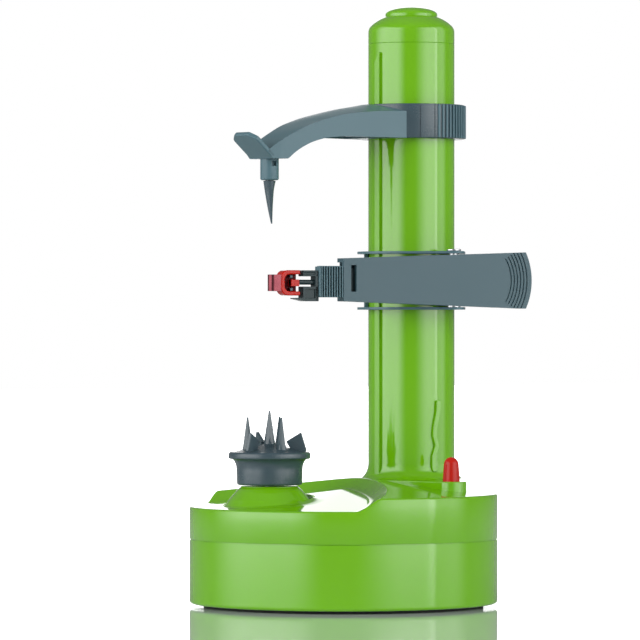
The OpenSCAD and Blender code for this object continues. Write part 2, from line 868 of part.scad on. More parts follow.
module cap_button() {
    color(green) at_column() rotate_extrude() polygon([
        [0, crown_z], [crown_r, crown_z], [crown_r, cap_z + shoulder_h + crown_edge_h / 2],
        for (a = [15:15:75]) [
            crown_r * cos(a), cap_z + shoulder_h + crown_edge_h / 2 + crown_dome_h * sin(a)
        ],
        [0, cap_z + shoulder_h + crown_edge_h / 2 + crown_dome_h]
    ]);
}

// Room for the column's ribs where a collar slides past them
module rib_notches(z, h) {
    depth = rib_out + slide_gap;
    around([guide_turn, cam_turn]) translate([column_in_r, -guide_w / 2 - slide_gap, z - over])
        cube([column_wall + depth, guide_w + 2 * slide_gap, h + 2 * over]);
}

// Side view of the arm: distances as shares of the gap between the axes, heights above the
// collar's underside as shares of the collar's height, and below it as shares of the drop
arm_top_shares = [
    [0, 0.93], [0.2, 0.92], [0.3, 0.87], [0.4, 0.815], [0.5, 0.74], [0.6, 0.625], [0.7, 0.47], [0.8, 0.27],
    [0.9, 0.03], [1.056, -0.4]
];
arm_low_shares = [
    [1.056, 1], [0.94, 1], [0.9, 0.78], [0.85, 0.55], [0.791, 0.34], [0.73, 0.18], [0.67, 0.08], [0.6, 0.02],
    [0.5, 0], [0, 0]
];

module arm_side() {
    polygon([
        for (p = arm_top_shares) [p[0] * axis_gap, collar_z + p[1] * collar_h],
        for (p = arm_low_shares) [p[0] * axis_gap, collar_z - p[1] * arm_drop]
    ]);
}

// Plan of the arm, narrower by inset, between two distances from the column axis
module arm_plan(inset, from, to) {
    slope = (arm_root_w - arm_tip_w) / axis_gap;
    translate([0, 0, collar_z - 3 * arm_drop]) linear_extrude(collar_h + 4 * arm_drop) polygon([
        [from, inset + slope * from - arm_root_w], [to, inset + slope * to - arm_root_w],
        [to, arm_root_w - slope * to - inset], [from, arm_root_w - slope * from - inset]
    ]);
}

module arm_form(inset, from, to) {
    intersection() {
        slab(-arm_root_w, 2 * arm_root_w) arm_side();
        arm_plan(inset, from, to);
    }
}

module lip() {
    root_share = 1.055;
    chamfer = lip_l / 4;
    w = arm_tip_w;
    translate([axis_gap * root_share, 0, collar_z - arm_drop]) rotate([0, -lip_angle, 0])
        linear_extrude(lip_t) polygon([
            [0, -w], [lip_l - chamfer, -w], [lip_l, chamfer - w], [lip_l, w - chamfer], [lip_l - chamfer, w],
            [0, w]
        ]);
}

module holder_arm() {
    grip_share = 0.45;
    grip_w = 2 * PI * collar_r * grip_step / 360 * grip_share;
    color(grey) at_column() difference() {
        union() {
            difference() {
                rod(collar_r, collar_z, collar_h);
                around([-100:grip_step:100]) translate([collar_r - grip_depth, -grip_w / 2, collar_z - over])
                    cube([2 * grip_depth, grip_w, collar_h + 2 * over]);
            }
            rotate([0, 0, 180]) difference() {
                union() {
                    arm_form(0, 0, axis_gap + lip_t + wall);
                    lip();
                }
                translate([0, 0, -wall]) arm_form(wall, collar_r + wall, axis_gap - 2 * bush_r - wall);
            }
        }
        rod(bore_r, collar_z - over, collar_h + 2 * over);
        rib_notches(collar_z, collar_h);
        translate([-axis_gap, 0, 0]) rod(axle_r + run_gap, collar_z - 2 * arm_drop, arm_drop + wall);
    }
}

module spike_bush() {
    color(grey) at_food() tube(bush_r, axle_r + run_gap, collar_z - arm_drop - bush_h, bush_h);
}

module top_spike() {
    root_z = collar_z - arm_drop - bush_h - part_gap;
    flute_share = 0.6;
    flute_gap_share = 1.25;
    flute_r = spike_r * flute_share;
    color(dark) at_food() {
        difference() {
            translate([0, 0, root_z - spike_l]) cylinder(r1 = spike_r / 8, r2 = spike_r, h = spike_l);
            around([45:90:315]) translate([spike_r * flute_gap_share, 0, 0])
                rod(flute_r, root_z - spike_l - over, spike_l - wall);
        }
        rod(axle_r, root_z - over, bush_h + wall / 2);
    }
}

module carriage_plate(z) {
    translate([0, 0, z]) linear_extrude(plate_t) lobe(plate_ring_r, ear_r, pivot_gap, -90);
}

module carriage() {
    sleeve_t = 1.7;
    color(grey) at_column() difference() {
        union() {
            carriage_plate(carriage_z);
            carriage_plate(carriage_z + carriage_h - plate_t);
            intersection() {
                rod(bore_r + sleeve_t, carriage_z, carriage_h);
                rotate([0, 0, slot_turn - 90]) translate([-collar_r, 0, carriage_z])
                    cube([2 * collar_r, collar_r, carriage_h]);
            }
        }
        rod(bore_r, carriage_z - over, carriage_h + 2 * over);
        rib_notches(carriage_z, carriage_h);
        translate([0, -pivot_gap, 0]) rod(pin_r, carriage_z - over, carriage_h + 2 * over);
    }
}

module half_nut() {
    color("white") at_column() intersection() {
        tube(bore_r, screw_crest_r + nut_gap, lever_z - nut_h / 2, nut_h);
        rotate([0, 0, slot_turn]) translate([0, part_gap - slot_w / 2, lever_z - nut_h / 2])
            cube([collar_r, slot_w - 2 * part_gap, nut_h]);
    }
}

module pivot_pin() {
    color(steel) at_column() translate([0, -pivot_gap, 0]) {
        rod(pin_r, carriage_z, carriage_h);
        rod(pin_r + pin_head_out, carriage_z + carriage_h, pin_head_h);
    }
}

// Side view of the lever, which widens from its open end to the round end of the thumb tab
module lever_side(inset, end_x) {
    tab_turn = asin(tab_h / 2 / tab_r);
    end_h = lever_end_h / 2 - inset;
    translate([0, lever_z]) polygon([
        [end_x, -end_h], [end_x, end_h],
        for (a = [tab_turn:-tab_turn / 4:-tab_turn])
            [tab_r + inset - tab_l - tab_r * cos(a), (1 - 2 * inset / tab_h) * tab_r * sin(a)]
    ]);
}

// Curved grooves in the thumb tab, side by side
module tab_groove_arcs() {
    groove = lever_wall / 3;
    intersection() {
        lever_side(0, lever_l);
        translate([tab_r - tab_l, lever_z]) for (i = [1:tab_grooves]) difference() {
            circle(r = tab_r - 3 * i * groove);
            circle(r = tab_r - (3 * i + 1) * groove);
            translate([-tab_r / 2, -tab_r]) square(2 * tab_r);
        }
    }
}

module lever() {
    face_y = lever_back + lever_t - lever_wall;
    window = [2.8, 2 * lever_wall, 12.6];
    window_back = 5.4;
    window_up = 1.6;
    color(grey) at_lever() difference() {
        union() {
            difference() {
                slab(lever_back, lever_t) lever_side(0, lever_l);
                slab(lever_back - over, lever_t - lever_wall + over) lever_side(lever_wall, lever_l + over);
            }
            rod(barrel_r, lever_z - lever_mid_h / 2, lever_mid_h);
            block(
                [lever_wall, face_y - lever_back, lever_mid_h - 2 * lever_wall],
                [lever_l - tongue_l - lever_wall / 2, (lever_back + face_y) / 2, lever_z]
            );
        }
        rod(pin_r + run_gap, lever_z - lever_mid_h, 2 * lever_mid_h);
        rod(spring_out_r + part_gap, spring_z - over, spring_h + part_gap + over);
        slab(lever_back + lever_t - lever_wall / 3, lever_wall) tab_groove_arcs();
        block(window, [lever_l - window_back, lever_back + lever_t, neck_z + window_up]);
    }
}

module lever_spring() {
    color(steel) at_column() translate([0, -pivot_gap, 0])
        tube(spring_out_r, spring_in_r, spring_z, spring_h);
}

module blade_neck() {
    rib = neck_l / (2 * neck_ribs);
    color(dark) at_lever() {
        block([tongue_l, tongue_d, tongue_h], [neck_x - tongue_l / 2, blade_y, neck_z]);
        block([neck_l, neck_d - 4 * rib, neck_h - 4 * rib], [neck_x + neck_l / 2, blade_y, neck_z]);
        for (i = [0:neck_ribs - 1])
            block([rib, neck_d, neck_h], [neck_x + (2 * i + 1) * rib, blade_y, neck_z]);
    }
}

module blade_fork() {
    bar_top = 5.3;
    bar_h = 2.9;
    back_l = fork_l / 4;
    low_top = -2.4;
    low_h = 6.9;
    mid_x = fork_x + fork_l / 2;
    color(dark) at_lever() difference() {
        union() {
            block(
                [back_l, fork_d, bar_top + low_h - low_top],
                [fork_x + back_l / 2, blade_y, neck_z + (bar_top + low_top - low_h) / 2]
            );
            block([fork_l, fork_d, bar_h], [mid_x, blade_y, neck_z + bar_top - bar_h / 2]);
            slab(blade_y - fork_d / 2, fork_d) translate([fork_x, neck_z + low_top]) polygon([
                [0, 0], [fork_l, 0], [fork_l, -low_h + back_l], [fork_l - back_l, -low_h], [0, -low_h]
            ]);
        }
        translate([fork_x - over, blade_y, head_z]) rotate([0, 90, 0])
            cylinder(r = blade_pin_r, h = fork_l + 2 * over);
        block(
            [fork_l - 2 * back_l, back_l, low_h / 2],
            [mid_x + back_l / 4, blade_y + fork_d / 2, neck_z + low_top - low_h / 2]
        );
    }
}

module blade_axle() {
    color(steel) at_lever() translate([fork_x, blade_y, head_z]) rotate([0, 90, 0])
        cylinder(r = blade_pin_r, h = axle_l);
}

// The head is a tray, open towards the fork, with a stub in it that turns on the axle
module blade_head() {
    rim_t = 2.1;
    back_t = 1.2;
    corner_r = 2.2;
    stub_h = 4.4;
    stub_l = axle_l - fork_l - part_gap;
    color("firebrick") at_lever() difference() {
        union() {
            difference() {
                slab(blade_y - head_d / 2, head_d) head_side(head_l, head_h, corner_r, 0);
                slab(blade_y - head_d / 2 + back_t, head_d)
                    head_side(head_l - rim_t, head_h - 2 * rim_t, corner_r - 1, over);
            }
            block(
                [stub_l + back_t, head_d - back_t - part_gap, stub_h],
                [head_x + (stub_l + back_t) / 2, blade_y - part_gap / 2 - back_t / 2, head_z]
            );
        }
        translate([head_x - over, blade_y, head_z]) rotate([0, 90, 0])
            cylinder(r = blade_pin_r + run_gap, h = stub_l + over + run_gap);
        blade_form();
        head_dots();
    }
}

// Side view of the head: round corners at the blade's end, square ones at the fork's, where it
// goes on by this much
module head_side(l, h, r, back) {
    translate([head_x, head_z - h / 2]) {
        translate([-back, 0]) square([l + back - r, h]);
        translate([-back, r]) square([l + back, h - 2 * r]);
        for (z = [r, h - r]) translate([l - r, z]) circle(r = r);
    }
}

// A strip bent to a half ring round the end of the head, held by its two straight legs
module blade_form() {
    strip_t = 0.6;
    leg_l = 1.4;
    translate([blade_x, blade_y, 0]) {
        intersection() {
            tube(blade_r, blade_r - strip_t, head_z - blade_h / 2, blade_h);
            block([2 * blade_r, 2 * blade_r, head_h], [blade_r, 0, head_z]);
        }
        for (side = [-1, 1]) block(
            [leg_l + over, strip_t, blade_h],
            [(over - leg_l) / 2 - over, side * (blade_r - strip_t / 2), head_z]
        );
    }
}

module blade() {
    slit_w = 1.2;
    slit_turn = -50;
    color(steel) at_lever() difference() {
        blade_form();
        translate([blade_x, blade_y, 0]) rotate([0, 0, slit_turn])
            block([2 * blade_r, slit_w, blade_h - 2 * slit_w], [blade_r, 0, head_z]);
    }
}

// The two small pins in the tray of the head
module head_dots() {
    dot_r = 0.7;
    dot_gap = 5;
    for (side = [-1, 1])
        translate([head_x + head_l / 3, blade_y - head_d / 2 + over, head_z + side * dot_gap / 2])
            rotate([-90, 0, 0]) cylinder(r = dot_r, h = head_d / 2);
}

module blade_pins() { color(grey) at_lever() head_dots(); }

lower_housing();
top_cover();
battery_cover();
foot_ring();
cover_screws();
gear_plate();
plate_screws();
gear_axles();
motor();
motor_shaft();
motor_pinion();
compound_gear();
idler_gear();
holder_gear();
holder_shaft();
holder_bearing();
holder_seal();
food_holder();
screw_gear();
lead_screw();
lower_bearing();
upper_bearing();
batteries();
battery_contacts();
start_switch();
start_button();
button_spring();
column();
column_cap();
cap_button();
holder_arm();
spike_bush();
top_spike();
carriage();
half_nut();
pivot_pin();
lever_spring();
lever();
blade_neck();
blade_fork();
blade_axle();
blade_head();
blade();
blade_pins();
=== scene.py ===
"""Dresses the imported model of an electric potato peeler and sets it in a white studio.

Every size is in millimetres in the part's own frame: the origin is at the middle of the base on the
table, +X runs from the food holder's axis to the column's axis, and +Z is up. Meshes are made in metres.
"""

from __future__ import annotations

import json
import logging
import math
from dataclasses import dataclass
from enum import Enum
from typing import Callable, Sequence

import bmesh
import bpy
from mathutils import Matrix, Vector


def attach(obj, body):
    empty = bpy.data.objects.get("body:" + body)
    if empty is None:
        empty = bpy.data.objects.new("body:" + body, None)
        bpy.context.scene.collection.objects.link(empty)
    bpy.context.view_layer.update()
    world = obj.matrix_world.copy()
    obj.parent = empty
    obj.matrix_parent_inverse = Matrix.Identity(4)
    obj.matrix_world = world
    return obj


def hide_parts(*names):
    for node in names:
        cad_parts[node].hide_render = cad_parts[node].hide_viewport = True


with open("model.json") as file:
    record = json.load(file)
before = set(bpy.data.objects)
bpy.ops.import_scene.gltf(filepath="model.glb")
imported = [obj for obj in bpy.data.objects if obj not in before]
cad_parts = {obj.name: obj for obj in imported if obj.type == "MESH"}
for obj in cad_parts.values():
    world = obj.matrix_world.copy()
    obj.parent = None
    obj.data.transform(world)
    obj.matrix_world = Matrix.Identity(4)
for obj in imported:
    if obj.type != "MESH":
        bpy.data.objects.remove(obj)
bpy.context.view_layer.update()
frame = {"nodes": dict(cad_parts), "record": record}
LOG = logging.getLogger("peeler")

MM = 0.001
FOOD_X = -45.9
COLUMN_X = 43.1
PIVOT_Y = -31.0
LEVER_TURN = 168.0
PLATE_Z = 60.2
BUTTON_X = COLUMN_X - 15.5
BUTTON_Y = -46.7
SPINDLE_R = 3.06
Point = tuple[float, float]


class Body(Enum):
    """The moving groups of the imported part."""

    BASE = "base"
    TURNTABLE = "turntable"
    BUTTON = "button"
    ARM = "upper_arm"
    SPIKE = "spike"
    CARRIAGE = "blade_carriage"
    LEVER = "peeling_lever"
    HEAD = "swivel_head"


class Slot(Enum):
    """The record's material slots."""

    LIME = "lime_plastic"
    GREY = "grey_plastic"
    DARK = "dark_plastic"
    RED = "red_plastic"
    STEEL = "steel"
    ACETAL = "white_plastic"
    BRONZE = "bronze"
    RUBBER = "rubber"
    CAN = "motor_can"
    JACKET = "cell_jacket"
    BLACK = "black_plastic"


# Shader nodes


class Term:
    """A shader socket that can be used in Python sums."""

    def __init__(self, graph: "Graph", socket: bpy.types.NodeSocket) -> None:
        """Keeps the socket and the graph that it belongs to."""
        self.graph = graph
        self.socket = socket

    def _sum(self, operation: str, first: "Term | float", second: "Term | float") -> "Term":
        """Adds one Math node and returns its result."""
        return self.graph.node("ShaderNodeMath", {"operation": operation}, {0: first, 1: second})

    def __add__(self, other: "Term | float") -> "Term":
        """self + other."""
        return self._sum("ADD", self, other)

    __radd__ = __add__

    def __sub__(self, other: "Term | float") -> "Term":
        """self - other."""
        return self._sum("SUBTRACT", self, other)

    def __rsub__(self, other: "Term | float") -> "Term":
        """other - self."""
        return self._sum("SUBTRACT", other, self)

    def __mul__(self, other: "Term | float") -> "Term":
        """self * other."""
        return self._sum("MULTIPLY", self, other)

    __rmul__ = __mul__

    def rise(self, start: float, end: float) -> "Term":
        """Goes smoothly from 0 to 1 between two values, or from 1 to 0 when the first one is larger.

        Args:
            start: Where the result is 0.
            end: Where the result is 1.

        Returns:
            The smooth step.
        """
        values = {
            0: self, 1: min(start, end), 2: max(start, end), 3: float(start > end), 4: float(start < end),
        }
        return self.graph.node("ShaderNodeMapRange", {"interpolation_type": "SMOOTHSTEP"}, values)

    def clamp(self, low: float, high: float) -> "Term":
        """Keeps the value between two numbers.

        Args:
            low: The lowest value.
            high: The highest value.

        Returns:
            The limited value.
        """
        return self._sum("MAXIMUM", self._sum("MINIMUM", self, high), low)


class Graph:
    """The node tree of one material round a Principled shader, or of a world round its background."""

    def __init__(self, name: str, world: bool = False) -> None:
        """Starts the material or the world with its shader and output.

        Args:
            name: The material's or the world's name.
            world: Whether it is the world's tree.
        """
        self.owner = (bpy.data.worlds if world else bpy.data.materials).new(name)
        self.owner.use_nodes = True
        self.tree = self.owner.node_tree
        self.tree.nodes.clear()
        output = self.tree.nodes.new("ShaderNodeOutputWorld" if world else "ShaderNodeOutputMaterial")
        self.shader = self.tree.nodes.new("ShaderNodeBackground" if world else "ShaderNodeBsdfPrincipled")
        self.tree.links.new(self.shader.outputs[0], output.inputs["Surface"])

    def node(
        self,
        kind: str,
        settings: dict[str, object] | None = None,
        values: "dict[int | str, Term | float | Sequence[float]] | None" = None,
        output: int | str = 0,
    ) -> Term:
        """Adds a node, sets it and joins its sockets.

        Args:
            kind: The node's type.
            settings: Its properties.
            values: What goes into its sockets, by index or name.
            output: The output that is returned.

        Returns:
            The chosen output.
        """
        made = self.tree.nodes.new(kind)
        for key, value in (settings or {}).items():
            setattr(made, key, value)
        for key, value in (values or {}).items():
            self.join(value, made.inputs[key])
        return Term(self, made.outputs[output])

    def join(self, value: "Term | float | Sequence[float]", socket: bpy.types.NodeSocket) -> None:
        """Links a term to a socket, or sets the socket's own value.

        Args:
            value: A term, a number, a vector or a colour.
            socket: The socket that takes it.
        """
        if isinstance(value, Term):
            self.tree.links.new(value.socket, socket)
        elif isinstance(value, (int, float)):
            socket.default_value = float(value)
        else:
            length = len(socket.default_value)
            socket.default_value = (*value, 1.0)[:length] if length == 4 else tuple(value)

    def surface(self, **values: "Term | float | Sequence[float]") -> None:
        """Sets the shader's sockets; an underscore in a name stands for a space."""
        for key, value in values.items():
            self.join(value, self.shader.inputs[key.replace("_", " ")])

    def place(self) -> Term:
        """Returns the Object coordinates."""
        return self.node("ShaderNodeTexCoord", output="Object")

    def noise(self, scale: float, detail: float = 3.0, rough: float = 0.5, at: Term | None = None) -> Term:
        """Returns smooth noise between 0 and 1, with `scale` lumps to the metre.

        Args:
            scale: Lumps to the metre.
            detail: Octaves.
            rough: Weight of the finer octaves.
            at: Where it is read; Object coordinates by default.

        Returns:
            The noise value.
        """
        return self.node(
            "ShaderNodeTexNoise",
            {},
            {"Vector": at or self.place(), "Scale": scale, "Detail": detail, "Roughness": rough},
        )

    def blend(
        self, mask: "Term | float", low: "Term | Sequence[float]", high: "Term | Sequence[float]"
    ) -> Term:
        """Mixes two colours.

        Args:
            mask: 0 for the first colour and 1 for the second.
            low: The first colour.
            high: The second colour.

        Returns:
            The mixed colour.
        """
        return self.node(
            "ShaderNodeMix", {"data_type": "RGBA"}, {0: mask, 6: low, 7: high}, output=2
        )

    def bump(self, height: Term, distance: float, strength: float) -> Term:
        """Turns a height into a normal.

        Args:
            height: The height.
            distance: The height's scale, in metres.
            strength: How strongly it shows.

        Returns:
            The bent normal.
        """
        return self.node(
            "ShaderNodeBump", {}, {"Height": height, "Distance": distance, "Strength": strength}
        )

    def scaled(self, by: Sequence[float]) -> Term:
        """Returns Object coordinates stretched by these factors."""
        return self.node(
            "ShaderNodeVectorMath", {"operation": "MULTIPLY"}, {0: self.place(), 1: tuple(by)}
        )


@dataclass(frozen=True)
class Moulded:
    """Injection moulded plastic: an even colour, a faint flow pattern, a fine skin and soft smudges."""

    name: str
    colour: tuple[float, float, float]
    shade: tuple[float, float, float]
    gloss: float
    grain: float
    grain_height: float
    smudge: float = 0.06
    coat: float = 0.0
    ior: float = 1.52

    def material(self) -> bpy.types.Material:
        """Builds the node material.

        Returns:
            The material.
        """
        graph = Graph(self.name)
        flow = graph.noise(14.0, 4.0, 0.45, graph.scaled((1.0, 1.0, 0.35)))
        cloud = graph.noise(55.0, 5.0, 0.55)
        speck = graph.noise(2600.0, 1.0)
        tone = (flow * 0.75 + cloud * 0.25 - 0.32) * 2.4
        rough = cloud * self.smudge + speck * 0.03 + (self.gloss - self.smudge / 2 - 0.015)
        graph.surface(
            Base_Color=graph.blend(tone.clamp(0.0, 1.0), self.shade, self.colour),
            Roughness=rough.clamp(0.02, 1.0),
            Normal=graph.bump(graph.noise(self.grain, 2.0), self.grain_height, 0.5),
            Coat_Weight=self.coat,
            Coat_Roughness=0.04,
            IOR=self.ior,
        )
        return graph.owner


@dataclass(frozen=True)
class Metal:
    """Drawn, turned or plated metal with fine lines along one axis."""

    name: str
    colour: tuple[float, float, float]
    tarnish: tuple[float, float, float]
    rough: float
    lines: tuple[float, float, float]
    line_height: float = 0.00002

    def material(self) -> bpy.types.Material:
        """Builds the node material.

        Returns:
            The material.
        """
        graph = Graph(self.name)
        lines = graph.noise(900.0, 2.0, 0.6, graph.scaled(self.lines))
        stain = graph.noise(120.0, 5.0, 0.6)
        graph.surface(
            Base_Color=graph.blend(((stain - 0.42) * 3.0).clamp(0.0, 1.0), self.colour, self.tarnish),
            Metallic=1.0,
            Roughness=(lines * 0.16 + stain * 0.1 + (self.rough - 0.13)).clamp(0.05, 1.0),
            Normal=graph.bump(lines, self.line_height, 0.6),
        )
        return graph.owner


@dataclass(frozen=True)
class Rubber:
    """Matt rubber with a faint bloom and a pebbled skin."""

    name: str
    colour: tuple[float, float, float]
    bloom: tuple[float, float, float]

    def material(self) -> bpy.types.Material:
        """Builds the node material.

        Returns:
            The material.
        """
        graph = Graph(self.name)
        cloud = graph.noise(160.0, 5.0, 0.6)
        pebble = graph.node(
            "ShaderNodeTexVoronoi", {"feature": "F1"}, {"Vector": graph.place(), "Scale": 1800.0}
        )
        graph.surface(
            Base_Color=graph.blend(((cloud - 0.4) * 2.2).clamp(0.0, 1.0), self.colour, self.bloom),
            Roughness=(cloud * 0.2 + 0.62).clamp(0.0, 1.0),
            Normal=graph.bump(pebble, 0.00006, 0.5),
        )
        return graph.owner


FINISHES: dict[Slot, "Moulded | Metal | Rubber"] = {
    Slot.LIME: Moulded(
        "lime_plastic", (0.155, 0.44, 0.003), (0.146, 0.42, 0.003), 0.08, 240.0, 0.000006, 0.04, 0.2
    ),
    Slot.GREY: Moulded(
        "grey_plastic", (0.086, 0.163, 0.192), (0.077, 0.15, 0.177), 0.36, 1500.0, 0.00003, 0.08, ior=1.42
    ),
    Slot.DARK: Moulded(
        "dark_plastic", (0.05, 0.082, 0.098), (0.042, 0.07, 0.086), 0.27, 1300.0, 0.00002, 0.08
    ),
    Slot.RED: Moulded(
        "red_plastic", (0.52, 0.016, 0.008), (0.45, 0.012, 0.006), 0.14, 500.0, 0.00001, 0.05, ior=1.3
    ),
    Slot.STEEL: Metal("steel", (0.66, 0.67, 0.69), (0.5, 0.5, 0.52), 0.26, (1.0, 1.0, 0.06)),
    Slot.ACETAL: Moulded("white_plastic", (0.8, 0.8, 0.76), (0.74, 0.74, 0.7), 0.42, 900.0, 0.00002),
    Slot.BRONZE: Metal("bronze", (0.62, 0.4, 0.17), (0.4, 0.25, 0.11), 0.38, (1.0, 1.0, 1.0)),
    Slot.RUBBER: Rubber("rubber", (0.012, 0.012, 0.013), (0.035, 0.035, 0.037)),
    Slot.CAN: Metal("motor_can", (0.6, 0.61, 0.63), (0.45, 0.46, 0.48), 0.3, (1.0, 1.0, 0.1)),
    Slot.JACKET: Moulded("cell_jacket", (0.035, 0.036, 0.042), (0.02, 0.02, 0.025), 0.2, 400.0, 0.00001),
    Slot.BLACK: Moulded(
        "black_plastic", (0.02, 0.04, 0.044), (0.016, 0.032, 0.036), 0.36, 1200.0, 0.00002, ior=1.35
    ),
}
# A darker copy of grey_plastic for the lever alone: painted shade on a lever that is the same grey plastic as
# the arm.
LEVER_SHADED_GREY = Moulded(
    "lever_grey_painted_shade", (0.05, 0.104, 0.126), (0.044, 0.093, 0.113), 0.36, 1500.0, 0.00003, 0.08, ior=1.42
)
# A very dark red for a sheet in the head's tray: painted shade in its hollow, not a colour of the part.
PAINTED_SHADE_RED = Moulded("red_painted_shade", (0.11, 0.006, 0.01), (0.09, 0.005, 0.008), 0.5, 500.0, 0.00001, ior=1.2)
# The blade's steel is dark pinkish red in both tones: a painted reflection of the red head, in place of the
# steel's own grey.
BLADE_STEEL_PAINTED_REFLECTION = Metal("blade_painted_red_reflection", (0.17, 0.045, 0.055), (0.11, 0.028, 0.036), 0.27, (1.0, 1.0, 0.06))


class Palette:
    """Makes each finish once and lays it on pieces."""

    def __init__(self) -> None:
        """Builds every finish's material."""
        self.materials = {slot: finish.material() for slot, finish in FINISHES.items()}

    def lay(self, piece: bpy.types.Object, slot: Slot) -> None:
        """Gives a piece the finish of one slot.

        Args:
            piece: The piece.
            slot: Its material slot.
        """
        piece.data.materials.clear()
        piece.data.materials.append(self.materials[slot])

    def keep_nodes(self) -> None:
        """Gives each CAD node the finish of its own slot in the record."""
        slots = {part["node"]: Slot(part["material_slot"]) for part in frame["record"]["subparts"]}
        for name, node in frame["nodes"].items():
            node.data.materials.clear()
            node.data.materials.append(self.materials[slots[name]])


# Meshes


def linked(name: str, mesh: bpy.types.Mesh) -> bpy.types.Object:
    """Puts a mesh into the scene as a new object at the origin.

    Args:
        name: The object's name.
        mesh: Its mesh.

    Returns:
        The object.
    """
    piece = bpy.data.objects.new(name, mesh)
    bpy.context.scene.collection.objects.link(piece)
    return piece


def baked(piece: bpy.types.Object) -> bpy.types.Object:
    """Turns an object's modifiers into its plain mesh, and its place into the mesh's own.

    Args:
        piece: A mesh object with modifiers.

    Returns:
        The same object, with no modifier left.
    """
    bpy.context.view_layer.update()
    graph = bpy.context.evaluated_depsgraph_get()
    mesh = bpy.data.meshes.new_from_object(piece.evaluated_get(graph), depsgraph=graph)
    piece.modifiers.clear()
    mesh.transform(piece.matrix_world)
    piece.data = mesh
    piece.matrix_world = Matrix.Identity(4)
    return piece


def smooth(piece: bpy.types.Object, angle: float = 32.0) -> bpy.types.Object:
    """Shades a piece smooth, with sharp edges above an angle in degrees.

    Args:
        piece: The piece.
        angle: The least angle of an edge that stays sharp.

    Returns:
        The same piece.
    """
    piece.data.shade_smooth()
    piece.data.set_sharp_from_angle(angle=math.radians(angle))
    return piece


def rounded(piece: bpy.types.Object, width: float, steps: int = 2, angle: float = 28.0) -> bpy.types.Object:
    """Rounds a piece's edges over the angle and evens its shading.

    Args:
        piece: A closed mesh.
        width: Rounding in millimetres.
        steps: Segments of the rounding.
        angle: The least angle of an edge that is rounded, in degrees.

    Returns:
        The same piece.
    """
    bevel = piece.modifiers.new("round", "BEVEL")
    bevel.width = width * MM
    bevel.segments = steps
    bevel.limit_method = "ANGLE"
    bevel.angle_limit = math.radians(angle)
    bevel.miter_outer = "MITER_ARC"
    bevel.use_clamp_overlap = True
    even = piece.modifiers.new("even", "WEIGHTED_NORMAL")
    even.keep_sharp = True
    even.weight = 60
    piece.data.shade_smooth()
    return baked(piece)


def from_bmesh(name: str, form: bmesh.types.BMesh, turn: Matrix | None = None) -> bpy.types.Object:
    """Makes a piece from a form in millimetres.

    Args:
        name: The piece's name.
        form: Its mesh in millimetres.
        turn: A change of place in millimetres that is made first.

    Returns:
        The new object.
    """
    if turn is not None:
        form.transform(turn)
    bmesh.ops.remove_doubles(form, verts=form.verts[:], dist=0.0005)
    bmesh.ops.dissolve_degenerate(form, dist=0.0005, edges=form.edges[:])
    bmesh.ops.recalc_face_normals(form, faces=form.faces[:])
    form.transform(Matrix.Scale(MM, 4))
    mesh = bpy.data.meshes.new(name)
    form.to_mesh(mesh)
    form.free()
    return linked(name, mesh)


def joined(name: str, pieces: Sequence[bpy.types.Object]) -> bpy.types.Object:
    """Joins pieces into one object and removes them.

    Args:
        name: The new piece's name.
        pieces: Closed meshes at the origin.

    Returns:
        The joined piece.
    """
    form = bmesh.new()
    for piece in pieces:
        form.from_mesh(piece.data)
        bpy.data.objects.remove(piece)
    mesh = bpy.data.meshes.new(name)
    form.to_mesh(mesh)
    form.free()
    return linked(name, mesh)


def cut(piece: bpy.types.Object, *tools: bpy.types.Object, keep: bool = False) -> bpy.types.Object:
    """Takes tools away from a piece, or keeps only what they share with it, and removes them.

    Args:
        piece: The piece that is cut.
        *tools: Closed meshes.
        keep: Whether the shared room is kept, and not taken away.

    Returns:
        The same piece.
    """
    for tool in tools:
        step = piece.modifiers.new("cut", "BOOLEAN")
        step.operation = "INTERSECT" if keep else "DIFFERENCE"
        step.solver = "EXACT"
        step.object = tool
    baked(piece)
    for tool in tools:
        bpy.data.objects.remove(tool)
    return piece


def filleted(
    corners: Sequence[tuple[float, float, float]], steps: int = 6, closed: bool = True
) -> list[Point]:
    """Rounds the corners of an outline.

    Args:
        corners: (x, y, radius) of each corner.
        steps: Segments in each rounded corner.
        closed: Whether the outline joins up; the ends of an open one stay sharp.

    Returns:
        The outline's points.
    """
    points: list[Point] = []
    count = len(corners)
    for index, (x, y, radius) in enumerate(corners):
        here = Vector((x, y))
        if radius <= 0 or (not closed and index in (0, count - 1)):
            points.append((x, y))
            continue
        before = Vector(corners[index - 1][:2]) - here
        after = Vector(corners[(index + 1) % count][:2]) - here
        half = before.angle(after) / 2
        reach = min(radius / math.tan(half), before.length * 0.499, after.length * 0.499)
        size = reach * math.tan(half)
        middle = here + (before.normalized() + after.normalized()).normalized() * (size / math.sin(half))
        start = here + before.normalized() * reach - middle
        end = here + after.normalized() * reach - middle
        sweep = start.angle_signed(end)
        for step in range(steps + 1):
            turn = -sweep * step / steps
            cosine, sine = math.cos(turn), math.sin(turn)
            points.append((
                middle.x + start.x * cosine - start.y * sine, middle.y + start.x * sine + start.y * cosine,
            ))
    return points


